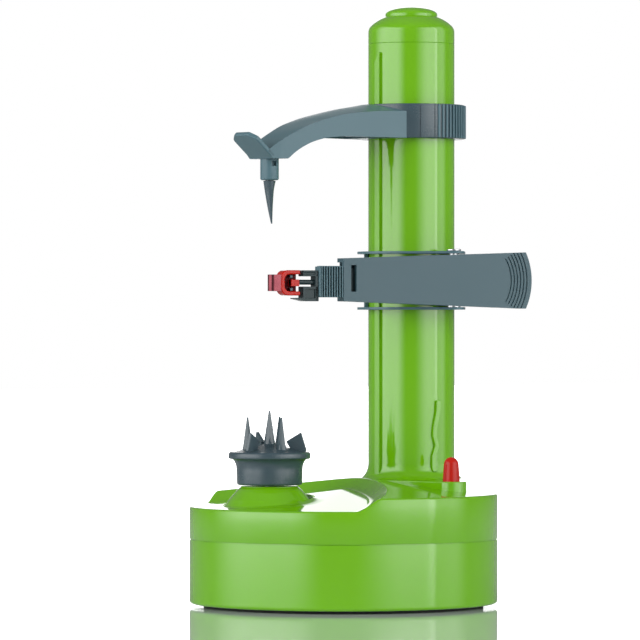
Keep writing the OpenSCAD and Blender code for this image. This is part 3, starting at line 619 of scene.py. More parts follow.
def lathed(
    name: str, profile: Sequence[Point], x: float, y: float = 0.0, turns: int = 160
) -> bpy.types.Object:
    """Turns an outline of (radius, height) round an upright axis.

    Args:
        name: The piece's name.
        profile: A closed outline, or one whose two ends lie on the axis.
        x: The axis's place along X.
        y: The axis's place along Y.
        turns: Segments round the axis.

    Returns:
        The closed piece.
    """
    form = bmesh.new()
    rings = []
    ways = [(math.cos(math.tau * i / turns), math.sin(math.tau * i / turns)) for i in range(turns)]
    for radius, height in profile:
        if radius < 1e-6:
            rings.append([form.verts.new((x, y, height))] * turns)
        else:
            rings.append([form.verts.new((x + radius * u, y + radius * v, height)) for u, v in ways])
    on_axis = profile[0][0] < 1e-6 and profile[-1][0] < 1e-6
    for index in range(len(rings) - (1 if on_axis else 0)):
        low, high = rings[index], rings[(index + 1) % len(rings)]
        for i in range(turns):
            j = (i + 1) % turns
            corners = list(dict.fromkeys((low[i], low[j], high[j], high[i])))
            if len(corners) > 2:
                form.faces.new(corners)
    return smooth(from_bmesh(name, form))


def prism(
    name: str, outline: Sequence[Point], low: float, high: float, turn: Matrix | None = None
) -> bpy.types.Object:
    """Makes an upright solid on an outline.

    Args:
        name: The piece's name.
        outline: The outline's points in X and Y.
        low: Height of its underside.
        high: Height of its top.
        turn: A change of place in millimetres.

    Returns:
        The solid.
    """
    form = bmesh.new()
    floor = [form.verts.new((x, y, low)) for x, y in outline]
    roof = [form.verts.new((x, y, high)) for x, y in outline]
    form.faces.new(list(reversed(floor)))
    form.faces.new(roof)
    for i in range(len(outline)):
        j = (i + 1) % len(outline)
        form.faces.new((floor[i], floor[j], roof[j], roof[i]))
    return from_bmesh(name, form, turn)


def slab(
    name: str, outline: Sequence[Point], near: float, far: float, turn: Matrix | None = None
) -> bpy.types.Object:
    """Makes a solid on an outline in X and Z, between two places along Y."""
    upright = Matrix(((1, 0, 0, 0), (0, 0, 1, 0), (0, 1, 0, 0), (0, 0, 0, 1)))
    return prism(name, outline, near, far, (turn or Matrix.Identity(4)) @ upright)


def block(
    name: str, low: Sequence[float], high: Sequence[float], turn: Matrix | None = None
) -> bpy.types.Object:
    """Makes a plain box between two corners, as a tool or as the core of a rounded piece."""
    outline = [(low[0], low[1]), (high[0], low[1]), (high[0], high[1]), (low[0], high[1])]
    return prism(name, outline, low[2], high[2], turn)


def rod(
    name: str, radius: float, start: Sequence[float], end: Sequence[float], turns: int = 48
) -> bpy.types.Object:
    """Makes a round bar between two points, as a tool or the core of a piece.

    Args:
        name: The piece's name.
        radius: Its radius.
        start: The middle of its first end.
        end: The middle of its other end.
        turns: Segments round it.

    Returns:
        The bar.
    """
    form = bmesh.new()
    along = Vector(end) - Vector(start)
    bmesh.ops.create_cone(
        form, cap_ends=True, segments=turns, radius1=radius, radius2=radius, depth=along.length
    )
    turn = along.to_track_quat("Z", "Y").to_matrix().to_4x4()
    place = Matrix.Translation((Vector(start) + Vector(end)) / 2) @ turn
    return from_bmesh(name, form, place)


def post(
    name: str, radius: float, x: float, y: float, low: float, high: float, turns: int = 48
) -> bpy.types.Object:
    """Makes an upright round bar between two heights."""
    return rod(name, radius, (x, y, low), (x, y, high), turns)


def about(x: float, angle: float, y: float = 0.0) -> Matrix:
    """Returns a turn round Z in degrees, and then a move to a place."""
    return Matrix.Translation((x, y, 0)) @ Matrix.Rotation(math.radians(angle), 4, "Z")


def moved(piece: bpy.types.Object, x: float, y: float = 0.0) -> bpy.types.Object:
    """Moves a piece's mesh across the table, in millimetres."""
    piece.data.transform(Matrix.Translation((x * MM, y * MM, 0)))
    return piece


def skinned(form: bmesh.types.BMesh, rings: Sequence[Sequence[bmesh.types.BMVert]]) -> None:
    """Joins rings of points, each to the next, and closes the first and the last.

    Args:
        form: The mesh that the points belong to.
        rings: Rings with the same count of points.
    """
    for low, high in zip(rings, rings[1:]):
        for i in range(len(low)):
            j = (i + 1) % len(low)
            form.faces.new((low[i], low[j], high[j], high[i]))
    form.faces.new(list(reversed(rings[0])))
    form.faces.new(rings[-1])


def lobe(first: float, second: float, gap: float, angle: float, x: float, y: float) -> list[Point]:
    """Returns the outline round two discs and their outer tangents.

    Args:
        first: Radius of the first disc.
        second: Radius of the second disc.
        gap: Distance between their middles.
        angle: Direction of the second disc, in degrees.
        x: The first disc's place along X.
        y: The first disc's place along Y.

    Returns:
        The outline's points.
    """
    lean = math.acos((first - second) / gap)
    base = math.radians(angle)
    steps = 64
    points = [
        (x + first * math.cos(t), y + first * math.sin(t))
        for t in (base + lean + (math.tau - 2 * lean) * i / steps for i in range(steps + 1))
    ]
    far_x, far_y = x + gap * math.cos(base), y + gap * math.sin(base)
    points += [
        (far_x + second * math.cos(t), far_y + second * math.sin(t))
        for t in (base - lean + 2 * lean * i / steps for i in range(steps + 1))
    ]
    return points


def dressed_copy(node: str, width: float = 0.0, name: str | None = None) -> bpy.types.Object:
    """Copies a CAD node, merges its triangles and rounds its edges.

    Args:
        node: The CAD node's name.
        width: Rounding of its edges in millimetres; none at 0.
        name: The copy's name, if not the node's with `_skin`.

    Returns:
        The copy.
    """
    form = bmesh.new()
    form.from_mesh(frame["nodes"][node].data)
    bmesh.ops.remove_doubles(form, verts=form.verts[:], dist=2e-6)
    bmesh.ops.dissolve_limit(
        form, angle_limit=math.radians(0.5), verts=form.verts[:], edges=form.edges[:], delimit=set()
    )
    mesh = bpy.data.meshes.new(name or f"{node}_skin")
    form.to_mesh(mesh)
    form.free()
    piece = linked(mesh.name, mesh)
    return rounded(piece, width) if width else smooth(piece)


def put(
    piece: bpy.types.Object,
    body: Body,
    slot: Slot,
    palette: Palette,
    *nodes: str,
    shade: bpy.types.Material | None = None,
) -> None:
    """Gives a finished piece its finish, its body and the CAD nodes that it stands for.

    Args:
        piece: The finished piece.
        body: The body that it moves with.
        slot: Its material slot in the record.
        palette: The finishes.
        *nodes: The CAD nodes that it replaces.
        shade: A finish of its own in place of the slot's; the callers pass painted shade or a painted
            reflection.
    """
    palette.lay(piece, slot)
    if shade is not None:
        piece.data.materials[0] = shade
    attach(piece, body.value)
    if nodes:
        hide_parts(*nodes)
    LOG.info("%s rides on %s", piece.name, body.value)


# Geometry Nodes


@dataclass(frozen=True)
class Repeat:
    """A Geometry Nodes group that sets copies of one small solid along a line or round an axis."""

    name: str
    count: int
    step: tuple[float, float, float] = (0.0, 0.0, 0.0)
    turn: float = 0.0

    def group(self, material: bpy.types.Material) -> bpy.types.NodeTree:
        """Builds the node group: points on a line, turned step by step, with the solid on each.

        Args:
            material: The finish of the copies.

        Returns:
            The node group.
        """
        tree = bpy.data.node_groups.new(self.name, "GeometryNodeTree")
        sockets = tree.interface
        for name, kind in (("Solid", "Geometry"), ("Count", "Int"), ("Step", "Vector"), ("Turn", "Float")):
            sockets.new_socket(name=name, in_out="INPUT", socket_type=f"NodeSocket{kind}")
        sockets.new_socket(name="Solids", in_out="OUTPUT", socket_type="NodeSocketGeometry")
        node = tree.nodes.new
        given, result = node("NodeGroupInput"), node("NodeGroupOutput")
        line, index = node("GeometryNodeMeshLine"), node("GeometryNodeInputIndex")
        angle, spin = node("ShaderNodeMath"), node("ShaderNodeCombineXYZ")
        place, real = node("GeometryNodeInstanceOnPoints"), node("GeometryNodeRealizeInstances")
        paint = node("GeometryNodeSetMaterial")
        angle.operation = "MULTIPLY"
        paint.inputs["Material"].default_value = material
        for source, target in (
            (given.outputs["Count"], line.inputs["Count"]), (given.outputs["Step"], line.inputs["Offset"]),
            (index.outputs["Index"], angle.inputs[0]), (given.outputs["Turn"], angle.inputs[1]),
            (angle.outputs["Value"], spin.inputs["Z"]), (line.outputs["Mesh"], place.inputs["Points"]),
            (given.outputs["Solid"], place.inputs["Instance"]),
            (spin.outputs["Vector"], place.inputs["Rotation"]),
            (place.outputs["Instances"], real.inputs["Geometry"]),
            (real.outputs["Geometry"], paint.inputs["Geometry"]),
            (paint.outputs["Geometry"], result.inputs["Solids"]),
        ):
            tree.links.new(source, target)
        return tree

    def laid(self, solid: bpy.types.Object, palette: Palette, slot: Slot) -> bpy.types.Object:
        """Turns one solid at the origin into all its copies.

        Args:
            solid: The first solid, placed as seen from the axis or the start of the line.
            palette: The finishes.
            slot: The finish of the copies.

        Returns:
            The same object with every copy in its mesh.
        """
        modifier = solid.modifiers.new(self.name, "NODES")
        modifier.node_group = self.group(palette.materials[slot])
        values = {
            "Count": self.count, "Step": [length * MM for length in self.step],
            "Turn": math.radians(self.turn),
        }
        for item in modifier.node_group.interface.items_tree:
            if item.item_type == "SOCKET" and item.in_out == "INPUT" and item.name in values:
                modifier[item.identifier] = values[item.name]
        return baked(solid)


# Upper arm


@dataclass(frozen=True)
class UpperArm:
    """The arm that slides down the column: a ribbed collar, a curved arm and a turned up lip."""

    collar_r: float = 26.5
    bore_r: float = 21.25
    low: float = 224.5
    high: float = 241.0
    root_w: float = 20.3
    tip_w: float = 8.75
    arm_start: float = 8.0
    arm_end: float = 97.0
    cut_x: float = 94.0
    room_start: float = 30.0
    room_end: float = 77.0
    gap: float = 89.0
    drop: float = 11.2
    wall: float = 2.4
    grip_ribs: int = 41
    grip_deep: float = 0.7
    grip_step: float = 5.0
    grip_turn: float = -100.0
    line_turns: tuple[float, float] = (-121.3, -105.0)
    notch_half: float = 2.05
    bush_r: float = 4.4
    bush_bore: float = 2.06
    lip_l: float = 16.8
    lip_w: float = 17.5
    lip_t: float = 2.3
    lip_angle: float = 39.5
    ridge: tuple[Point, ...] = (
        (8.0, 16.4), (20.0, 16.4), (29.0, 16.2), (36.0, 15.1), (46.0, 13.5), (55.0, 11.4), (63.6, 8.9),
        (72.0, 5.7), (81.0, 1.9), (88.0, -2.1), (94.0, -5.7), (97.0, -7.4),
    )
    edge: tuple[Point, ...] = (
        (8.0, 12.9), (30.0, 12.6), (42.0, 11.8), (50.0, 11.0), (58.3, 9.5), (66.0, 7.4), (74.0, 4.8),
        (82.0, 1.1), (90.0, -3.1), (95.5, -6.5), (97.0, -7.4),
    )
    under: tuple[Point, ...] = (
        (8.0, 0.0), (48.0, 0.0), (56.0, -0.2), (62.3, -0.75), (66.2, -1.5), (71.7, -3.1), (76.9, -5.5),
        (81.2, -8.1), (85.0, -11.2), (97.0, -11.2),
    )

    def sweep(self, name: str, start: float, end: float, inset: float) -> bpy.types.Object:
        """Makes the arm, or its hollow, from sections along it with a domed top.

        Args:
            name: The piece's name.
            start: The first section's distance from the column axis.
            end: The last section's distance.
            inset: How much narrower and lower it is than the arm's outside.

        Returns:
            The closed solid.
        """
        ridge, edge, under = (smoothed(points) for points in (self.ridge, self.edge, self.under[:-1]))
        form = bmesh.new()
        sections = []
        stations = 84
        for k in range(stations + 1):
            reach = start + (end - start) * k / stations
            half = self.root_w - (self.root_w - self.tip_w) * min(reach, self.gap) / self.gap - inset
            side = self.low + between(edge, reach) - inset
            crown = max(between(ridge, reach) - between(edge, reach), 0.0)
            floor = self.low + between(under, reach) - (3.0 if inset else 0.0)
            x = COLUMN_X - reach
            ring = [(x, -half, floor)]
            ring += [
                (x, half * share, side + crown * (1 - abs(share) ** 1.7))
                for share in (step / 8 for step in range(-8, 9))
            ]
            ring.append((x, half, floor))
            sections.append([form.verts.new(point) for point in ring])
        skinned(form, sections)
        return from_bmesh(name, form)

    def build(self, palette: Palette) -> None:
        """Makes the arm, the collar with its grip, the lip and the bush.

        Args:
            palette: The finishes.
        """
        arm = self.sweep("arm", self.arm_start, self.arm_end, 0.0)
        hollow = self.sweep("room", self.room_start, self.room_end, self.wall)
        away, base = COLUMN_X - self.cut_x, self.low - self.drop
        under = slab("under", [
            (away, base), (away, base - 9.0), (away - 20.0, base - 9.0), (away - 20.0, base + 22.6),
        ], -22.0, 22.0)
        cut(arm, hollow, under, post("bore", self.bore_r, COLUMN_X, 0, 200.0, 260.0, 128))
        put(rounded(arm, 0.45, 3, 40.0), Body.ARM, Slot.GREY, palette, "holder_arm")
        self.collar(palette)
        self.lip(palette)
        bush = lathed("bush_skin", filleted((
            (self.bush_bore, base - 10.1, 0.1), (self.bush_r - 0.5, base - 10.1, 0.3),
            (self.bush_r, base - 9.6, 0.2), (self.bush_r, base + 0.4, 0.0), (self.bush_bore, base + 0.4, 0.0),
        ), 3), FOOD_X, turns=64)
        hole = block(
            "slot", (FOOD_X - 1.3, -6.0, base - 3.4), (FOOD_X + 1.3, -2.5, base - 1.0),
            about(FOOD_X, -8.0) @ Matrix.Translation((-FOOD_X, 0, 0)),
        )
        put(smooth(cut(bush, hole)), Body.ARM, Slot.GREY, palette, "spike_bush")

    def collar(self, palette: Palette) -> None:
        """Makes the collar with its notches and lines, and its ribs with Geometry Nodes.

        Args:
            palette: The finishes.
        """
        core = self.collar_r - self.grip_deep
        collar = lathed("collar", filleted((
            (self.bore_r, self.low, 0.3), (core, self.low, 0.5), (core, self.high, 0.5),
            (self.bore_r, self.high, 0.3),
        ), 4), COLUMN_X, turns=180)
        half, under, over = self.notch_half, self.low - 4.5, self.high + 4.0
        notch = block("notch", (COLUMN_X - 30.0, -half, under), (COLUMN_X - 15.0, half, over))
        lines = [
            block(
                "line", (core - 0.4, -0.16, self.low - 1.0), (30.0, 0.16, self.high + 1.0),
                about(COLUMN_X, angle),
            )
            for angle in self.line_turns
        ]
        side = block("notch", (15.0, -half, under), (22.9, half, over), about(COLUMN_X, self.grip_turn))
        cut(collar, notch, side, *lines)
        # The collar ring takes the darker dark_plastic finish, not the grey of the arm moulding it belongs
        # to: painted shade on its front.
        put(smooth(collar), Body.ARM, Slot.DARK, palette)
        rib = rounded(block(
            "grip_ribs", (core - 0.4, -0.55, self.low + 0.3), (self.collar_r, 0.55, self.high - 0.3),
            about(0.0, self.grip_turn),
        ), 0.25, 2)
        ribs = Repeat("grip_ribs", self.grip_ribs, turn=self.grip_step).laid(rib, palette, Slot.GREY)
        put(moved(ribs, COLUMN_X), Body.ARM, Slot.GREY, palette)

    def lip(self, palette: Palette) -> None:
        """Makes the turned up lip at the arm's end, a plate with round corners.

        Args:
            palette: The finishes.
        """
        length, half = self.lip_l, self.lip_w / 2
        outline = filleted((
            (0.0, -half, 0.0), (length - 3.4, -half, 2.5), (length, -half + 3.8, 2.5),
            (length, half - 3.8, 2.5), (length - 3.4, half, 2.5), (0.0, half, 0.0),
        ), 6)
        turn = (
            Matrix.Translation((COLUMN_X - 93.9, 0, self.low - self.drop + 0.1))
            @ Matrix.Rotation(math.pi, 4, "Z") @ Matrix.Rotation(math.radians(-self.lip_angle), 4, "Y")
        )
        lip = rounded(prism("lip", outline, 0.0, self.lip_t, turn), 0.7, 3, 40.0)
        put(lip, Body.ARM, Slot.GREY, palette)


def between(points: Sequence[Point], place: float) -> float:
    """Returns the height of a line of points at a place along it, level beyond its ends.

    Args:
        points: The line's points.
        place: How far along it.

    Returns:
        The height.
    """
    if place <= points[0][0]:
        return points[0][1]
    for (start, low), (end, high) in zip(points, points[1:]):
        if place <= end:
            return low + (high - low) * (place - start) / (end - start)
    return points[-1][1]


def smoothed(points: Sequence[Point], steps: int = 5) -> list[Point]:
    """Returns a smooth curve through points, as a Catmull-Rom spline.

    Args:
        points: Places that the curve goes through.
        steps: Segments between two places.

    Returns:
        The curve's points.
    """
    curve: list[Point] = []
    for index in range(len(points) - 1):
        before = points[max(index - 1, 0)]
        start, end = points[index], points[index + 1]
        after = points[min(index + 2, len(points) - 1)]
        for step in range(steps):
            t = step / steps
            curve.append(tuple(
                0.5 * (
                    2 * s + (e - b) * t + (2 * b - 5 * s + 4 * e - a) * t * t
                    + (3 * s - b - 3 * e + a) * t ** 3
                )
                for b, s, e, a in zip(before, start, end, after)
            ))
    curve.append(tuple(points[-1]))
    return curve


@dataclass(frozen=True)
class Spike:
    """A tapered spike with hollow flutes, pointing up or down."""

    root_r: float
    tip_r: float
    flutes: int
    depth: float = 0.16
    lean: tuple[float, float] = (0.0, 0.0)
    flute_shape: float = 0.8
    root_share: float = 0.2

    def solid(
        self, name: str, x: float, y: float, root: float, tip: float, turn: float
    ) -> bpy.types.Object:
        """Makes the spike between two heights.

        Args:
            name: The piece's name.
            x: Its axis along X.
            y: Its axis along Y.
            root: Height of its root.
            tip: Height of its tip.
            turn: Turn of its flutes in degrees.

        Returns:
            The closed spike.
        """
        form = bmesh.new()
        around, along = 8 * self.flutes, 14
        rings = []
        for k in range(along + 1):
            share = k / along
            radius = self.root_r + (self.tip_r - self.root_r) * share
            fade = min(share / self.root_share, 1.0)
            ring = []
            for i in range(around):
                angle = math.tau * i / around
                wave = abs(math.sin(angle * self.flutes / 2)) ** self.flute_shape
                reach = radius * (1.0 - self.depth * fade * wave)
                angle += math.radians(turn)
                ring.append(form.verts.new((
                    x + self.lean[0] * share * share + reach * math.cos(angle),
                    y + self.lean[1] * share * share + reach * math.sin(angle), root + (tip - root) * share,
                )))
            rings.append(ring)
        skinned(form, rings)
        return smooth(from_bmesh(name, form), 38.0)


@dataclass(frozen=True)
class TopSpike:
    """The free spike under the arm, with its shank in the bush."""

    root_z: float = 202.9
    length: float = 20.3
    radius: float = 2.95
    tip_r: float = 0.35
    flutes: int = 3
    lean: tuple[float, float] = (0.8, -0.65)
    shank_r: float = 2.0
    shank_l: float = 11.3

    def build(self, palette: Palette) -> None:
        """Makes the spike and its shank.

        Args:
            palette: The finishes.
        """
        root = self.root_z
        point = Spike(self.radius, self.tip_r, self.flutes, lean=self.lean).solid(
            "spike_point", FOOD_X, 0.0, root, root - self.length, 20.0
        )
        shank = lathed("spike_shank", [
            (0.0, root - 0.6), (self.shank_r + 0.5, root - 0.4), (self.shank_r, root - 0.1),
            (self.shank_r, root + self.shank_l), (0.0, root + self.shank_l),
        ], FOOD_X, turns=48)
        put(smooth(joined("top_spike_skin", (point, shank))), Body.SPIKE, Slot.DARK, palette, "top_spike")


# Base


@dataclass(frozen=True)
class Dish:
    """The dish round the food holder: a shallow cone below the top's own, with a tilted sloping wall."""

    apex: float = 62.3
    slope: float = 8.5 / 73.8
    drop: float = 6.1
    foot_r: float = 70.9
    flare: float = 10.8 / 6.1
    x: float = -63.8
    y: float = 8.1
    tilt: float = math.radians(12.6)
    foot_blend: float = 1.4
    rim_blend: float = 0.7

    def deck(self, x: float, y: float) -> float:
        """Returns the height of the cone that the top follows."""
        return self.apex - self.slope * math.hypot(x, y)

    def wall(self, x: float, y: float) -> float:
        """Returns the height of the endless sloping wall at a place.

        Args:
            x: The place along X.
            y: The place along Y.

        Returns:
            The height.
        """
        sine, cosine = math.sin(self.tilt), math.cos(self.tilt)
        along, across = x - self.x, y - self.y
        reach = self.foot_r - self.flare * along * sine
        second = sine * sine - (self.flare * cosine) ** 2
        first = along * cosine * sine - self.flare * cosine * reach
        zeroth = (along * cosine) ** 2 + across * across - reach * reach
        root = math.sqrt(max(first * first - second * zeroth, 0.0))
        lift = max((-first - root) / second, (-first + root) / second)
        return self.apex - self.drop + math.tan(self.tilt) * self.x + lift

    def height(self, x: float, y: float, lower: float = 0.0) -> float:
        """Returns the height of the top's surface, with soft changes at the wall's foot and rim.

        Args:
            x: The place along X.
            y: The place along Y.
            lower: How much lower the result lies.

        Returns:
            The height.
        """
        deck = self.deck(x, y)
        floor = deck - self.drop
        low = soft_max(floor, self.wall(x, y), self.foot_blend)
        return -soft_max(-deck, -low, self.rim_blend) - lower


def soft_max(first: float, second: float, blend: float) -> float:
    """Returns the larger value, rounded off where the two are closer than the blend."""
    near = max(blend - abs(first - second), 0.0) / blend
    return max(first, second) + near * near * blend / 4


@dataclass(frozen=True)
class TopCover:
    """The upper housing: a thin closed shell in rings round the food axis, with its pedestal."""

    radius: float = 73.8
    seam: float = 32.0
    thick: float = 2.4
    edge: float = 1.1
    bore: float = SPINDLE_R
    seal_r: float = 7.0
    seal_deep: float = 1.5
    seam_step: float = 0.5
    pedestal_r: float = 20.2
    pedestal_top: float = 13.7
    pedestal_h: float = 7.6
    rays: int = 400
    dish: Dish = Dish()

    def reach(self, turn: float, radius: float) -> float:
        """Returns how far the circle round the origin is from the food axis in a direction."""
        cosine = math.cos(turn)
        return -FOOD_X * cosine + math.sqrt(radius * radius - (FOOD_X * math.sin(turn)) ** 2)

    def rows(self, turn: float) -> list[float]:
        """Returns distances from the food axis along one ray, closer together near the dish's wall.

        Args:
            turn: The ray's direction in radians.

        Returns:
            The distances, from the pedestal to the edge.
        """
        cosine, sine = math.cos(turn), math.sin(turn)
        end = self.reach(turn, self.radius - self.edge)

        def crossing(level: Callable[[float, float], float]) -> float:
            """Finds where the dish's wall meets a level.

            Args:
                level: The level's height at a place.

            Returns:
                The distance from the food axis, up to the top's edge.
            """
            low, high = self.pedestal_r + 1.0, 130.0
            for _ in range(30):
                middle = (low + high) / 2
                x, y = FOOD_X + middle * cosine, middle * sine
                if self.dish.wall(x, y) < level(x, y):
                    low = middle
                else:
                    high = middle
            return min(low, end)

        foot = crossing(lambda x, y: self.dish.deck(x, y) - self.dish.drop)
        rim = crossing(self.dish.deck)
        beyond = min(foot + 2.5, end)
        stops = (
            (self.pedestal_r + 0.6, 1), (max(foot - 4.0, self.pedestal_r + 1.2), 8), (beyond, 12),
            (max(min(rim - 2.0, end), beyond), 4), (min(rim + 2.0, end), 14), (end, 10),
        )
        places = [self.pedestal_r + 0.2]
        for place, steps in stops:
            start = places[-1]
            place = max(place, start)
            places += [start + (place - start) * (i + 1) / steps for i in range(steps)]
        return places

    def ring(self, turn: float) -> list[tuple[float, float, float]]:
        """Returns one closed section of the shell, from the seal's seat outwards and back underneath.

        Args:
            turn: The section's direction in radians.

        Returns:
            The section's points.
        """
        cosine, sine = math.cos(turn), math.sin(turn)
        food_z = self.dish.deck(FOOD_X, 0.0) - self.dish.drop
        top = food_z + self.pedestal_h
        lean = (self.pedestal_r - self.pedestal_top) / self.pedestal_h
        seat = top - self.seal_deep
        points = [(self.bore, seat), (self.seal_r, seat), (self.seal_r, top)]
        for step in range(7):
            bend = math.radians(90.0 * step / 6)
            points.append((self.pedestal_top - 0.7 + 0.6 * math.sin(bend), top - 0.5 + 0.5 * math.cos(bend)))
        points += [(self.pedestal_top + lean * drop, top - drop) for drop in (1.5, 3.0, 4.5, 6.0, 6.9)]
        ring = [(FOOD_X + reach * cosine, reach * sine, height) for reach, height in points]
        for reach in self.rows(turn):
            x, y = FOOD_X + reach * cosine, reach * sine
            height = self.dish.height(x, y)
            lift = max(0.0, 1.0 - (reach - self.pedestal_r) / 2.2)
            ring.append((x, y, height + lift * lift * 1.1))
        rim_x, rim_y, rim_z = ring[-1]
        angle = math.atan2(rim_y, rim_x)
        for step in range(1, 7):
            bend = math.radians(15.0 * step)
            radius = self.radius - self.edge + self.edge * math.sin(bend)
            height = rim_z - self.edge * (1 - math.cos(bend))
            ring.append((radius * math.cos(angle), radius * math.sin(angle), height))
        low, inner = self.seam, self.radius - self.thick
        rise, back = low + self.seam_step, self.radius - self.seam_step
        for radius, height in (
            (self.radius, rise + 0.12), (self.radius - 0.08, rise), (back, rise), (back, low),
            (inner, low), (inner, rim_z - self.thick - 1.0),
        ):
            ring.append((radius * math.cos(angle), radius * math.sin(angle), height))
        inner_end = self.reach(turn, inner - 0.6)
        for reach in reversed(self.rows(turn)[::3]):
            reach = min(reach, inner_end)
            x, y = FOOD_X + reach * cosine, reach * sine
            ring.append((x, y, self.dish.height(x, y, self.thick)))
        under = top - self.thick
        ring += [
            (FOOD_X + reach * cosine, reach * sine, height)
            for reach, height in ((self.pedestal_top - 2.0, under), (self.bore, under - 1.6))
        ]
        return ring

    def build(self, palette: Palette) -> None:
        """Makes the cover from rings of points round the food axis.

        Args:
            palette: The finishes.
        """
        form = bmesh.new()
        rings = [
            [form.verts.new(point) for point in self.ring(math.tau * i / self.rays)] for i in range(self.rays)
        ]
        count = len(rings[0])
        for i, ring in enumerate(rings):
            other = rings[(i + 1) % self.rays]
            for k in range(count):
                j = (k + 1) % count
                form.faces.new((ring[k], other[k], other[j], ring[j]))
        cover = smooth(from_bmesh("top_cover_skin", form), 40.0)
        put(cover, Body.BASE, Slot.LIME, palette, "top_cover")


@dataclass(frozen=True)
class ButtonPlate:
    """The raised plate round the column's foot and the start button."""

    column_r: float = 26.5
    button_r: float = 7.3
    gap: float = 49.205
    turn: float = 251.637
    low: float = 53.0
    column_room: float = 19.4
    button_room: float = 4.3
    over: float = 3.0

    def build(self, palette: Palette) -> None:
        """Makes the plate with the holes for the column and the button.

        Args:
            palette: The finishes.
        """
        outline = lobe(self.column_r, self.button_r, self.gap, self.turn, COLUMN_X, 0.0)
        plate = prism("button_plate", outline, self.low, PLATE_Z)
        floor, roof = self.low - self.over, PLATE_Z + self.over
        cut(
            plate, post("hole", self.column_room, COLUMN_X, 0.0, floor, roof, 96),
            post("hole", self.button_room, BUTTON_X, BUTTON_Y, floor, roof, 64),
        )
        put(rounded(plate, 0.7, 4, 50.0), Body.BASE, Slot.LIME, palette)


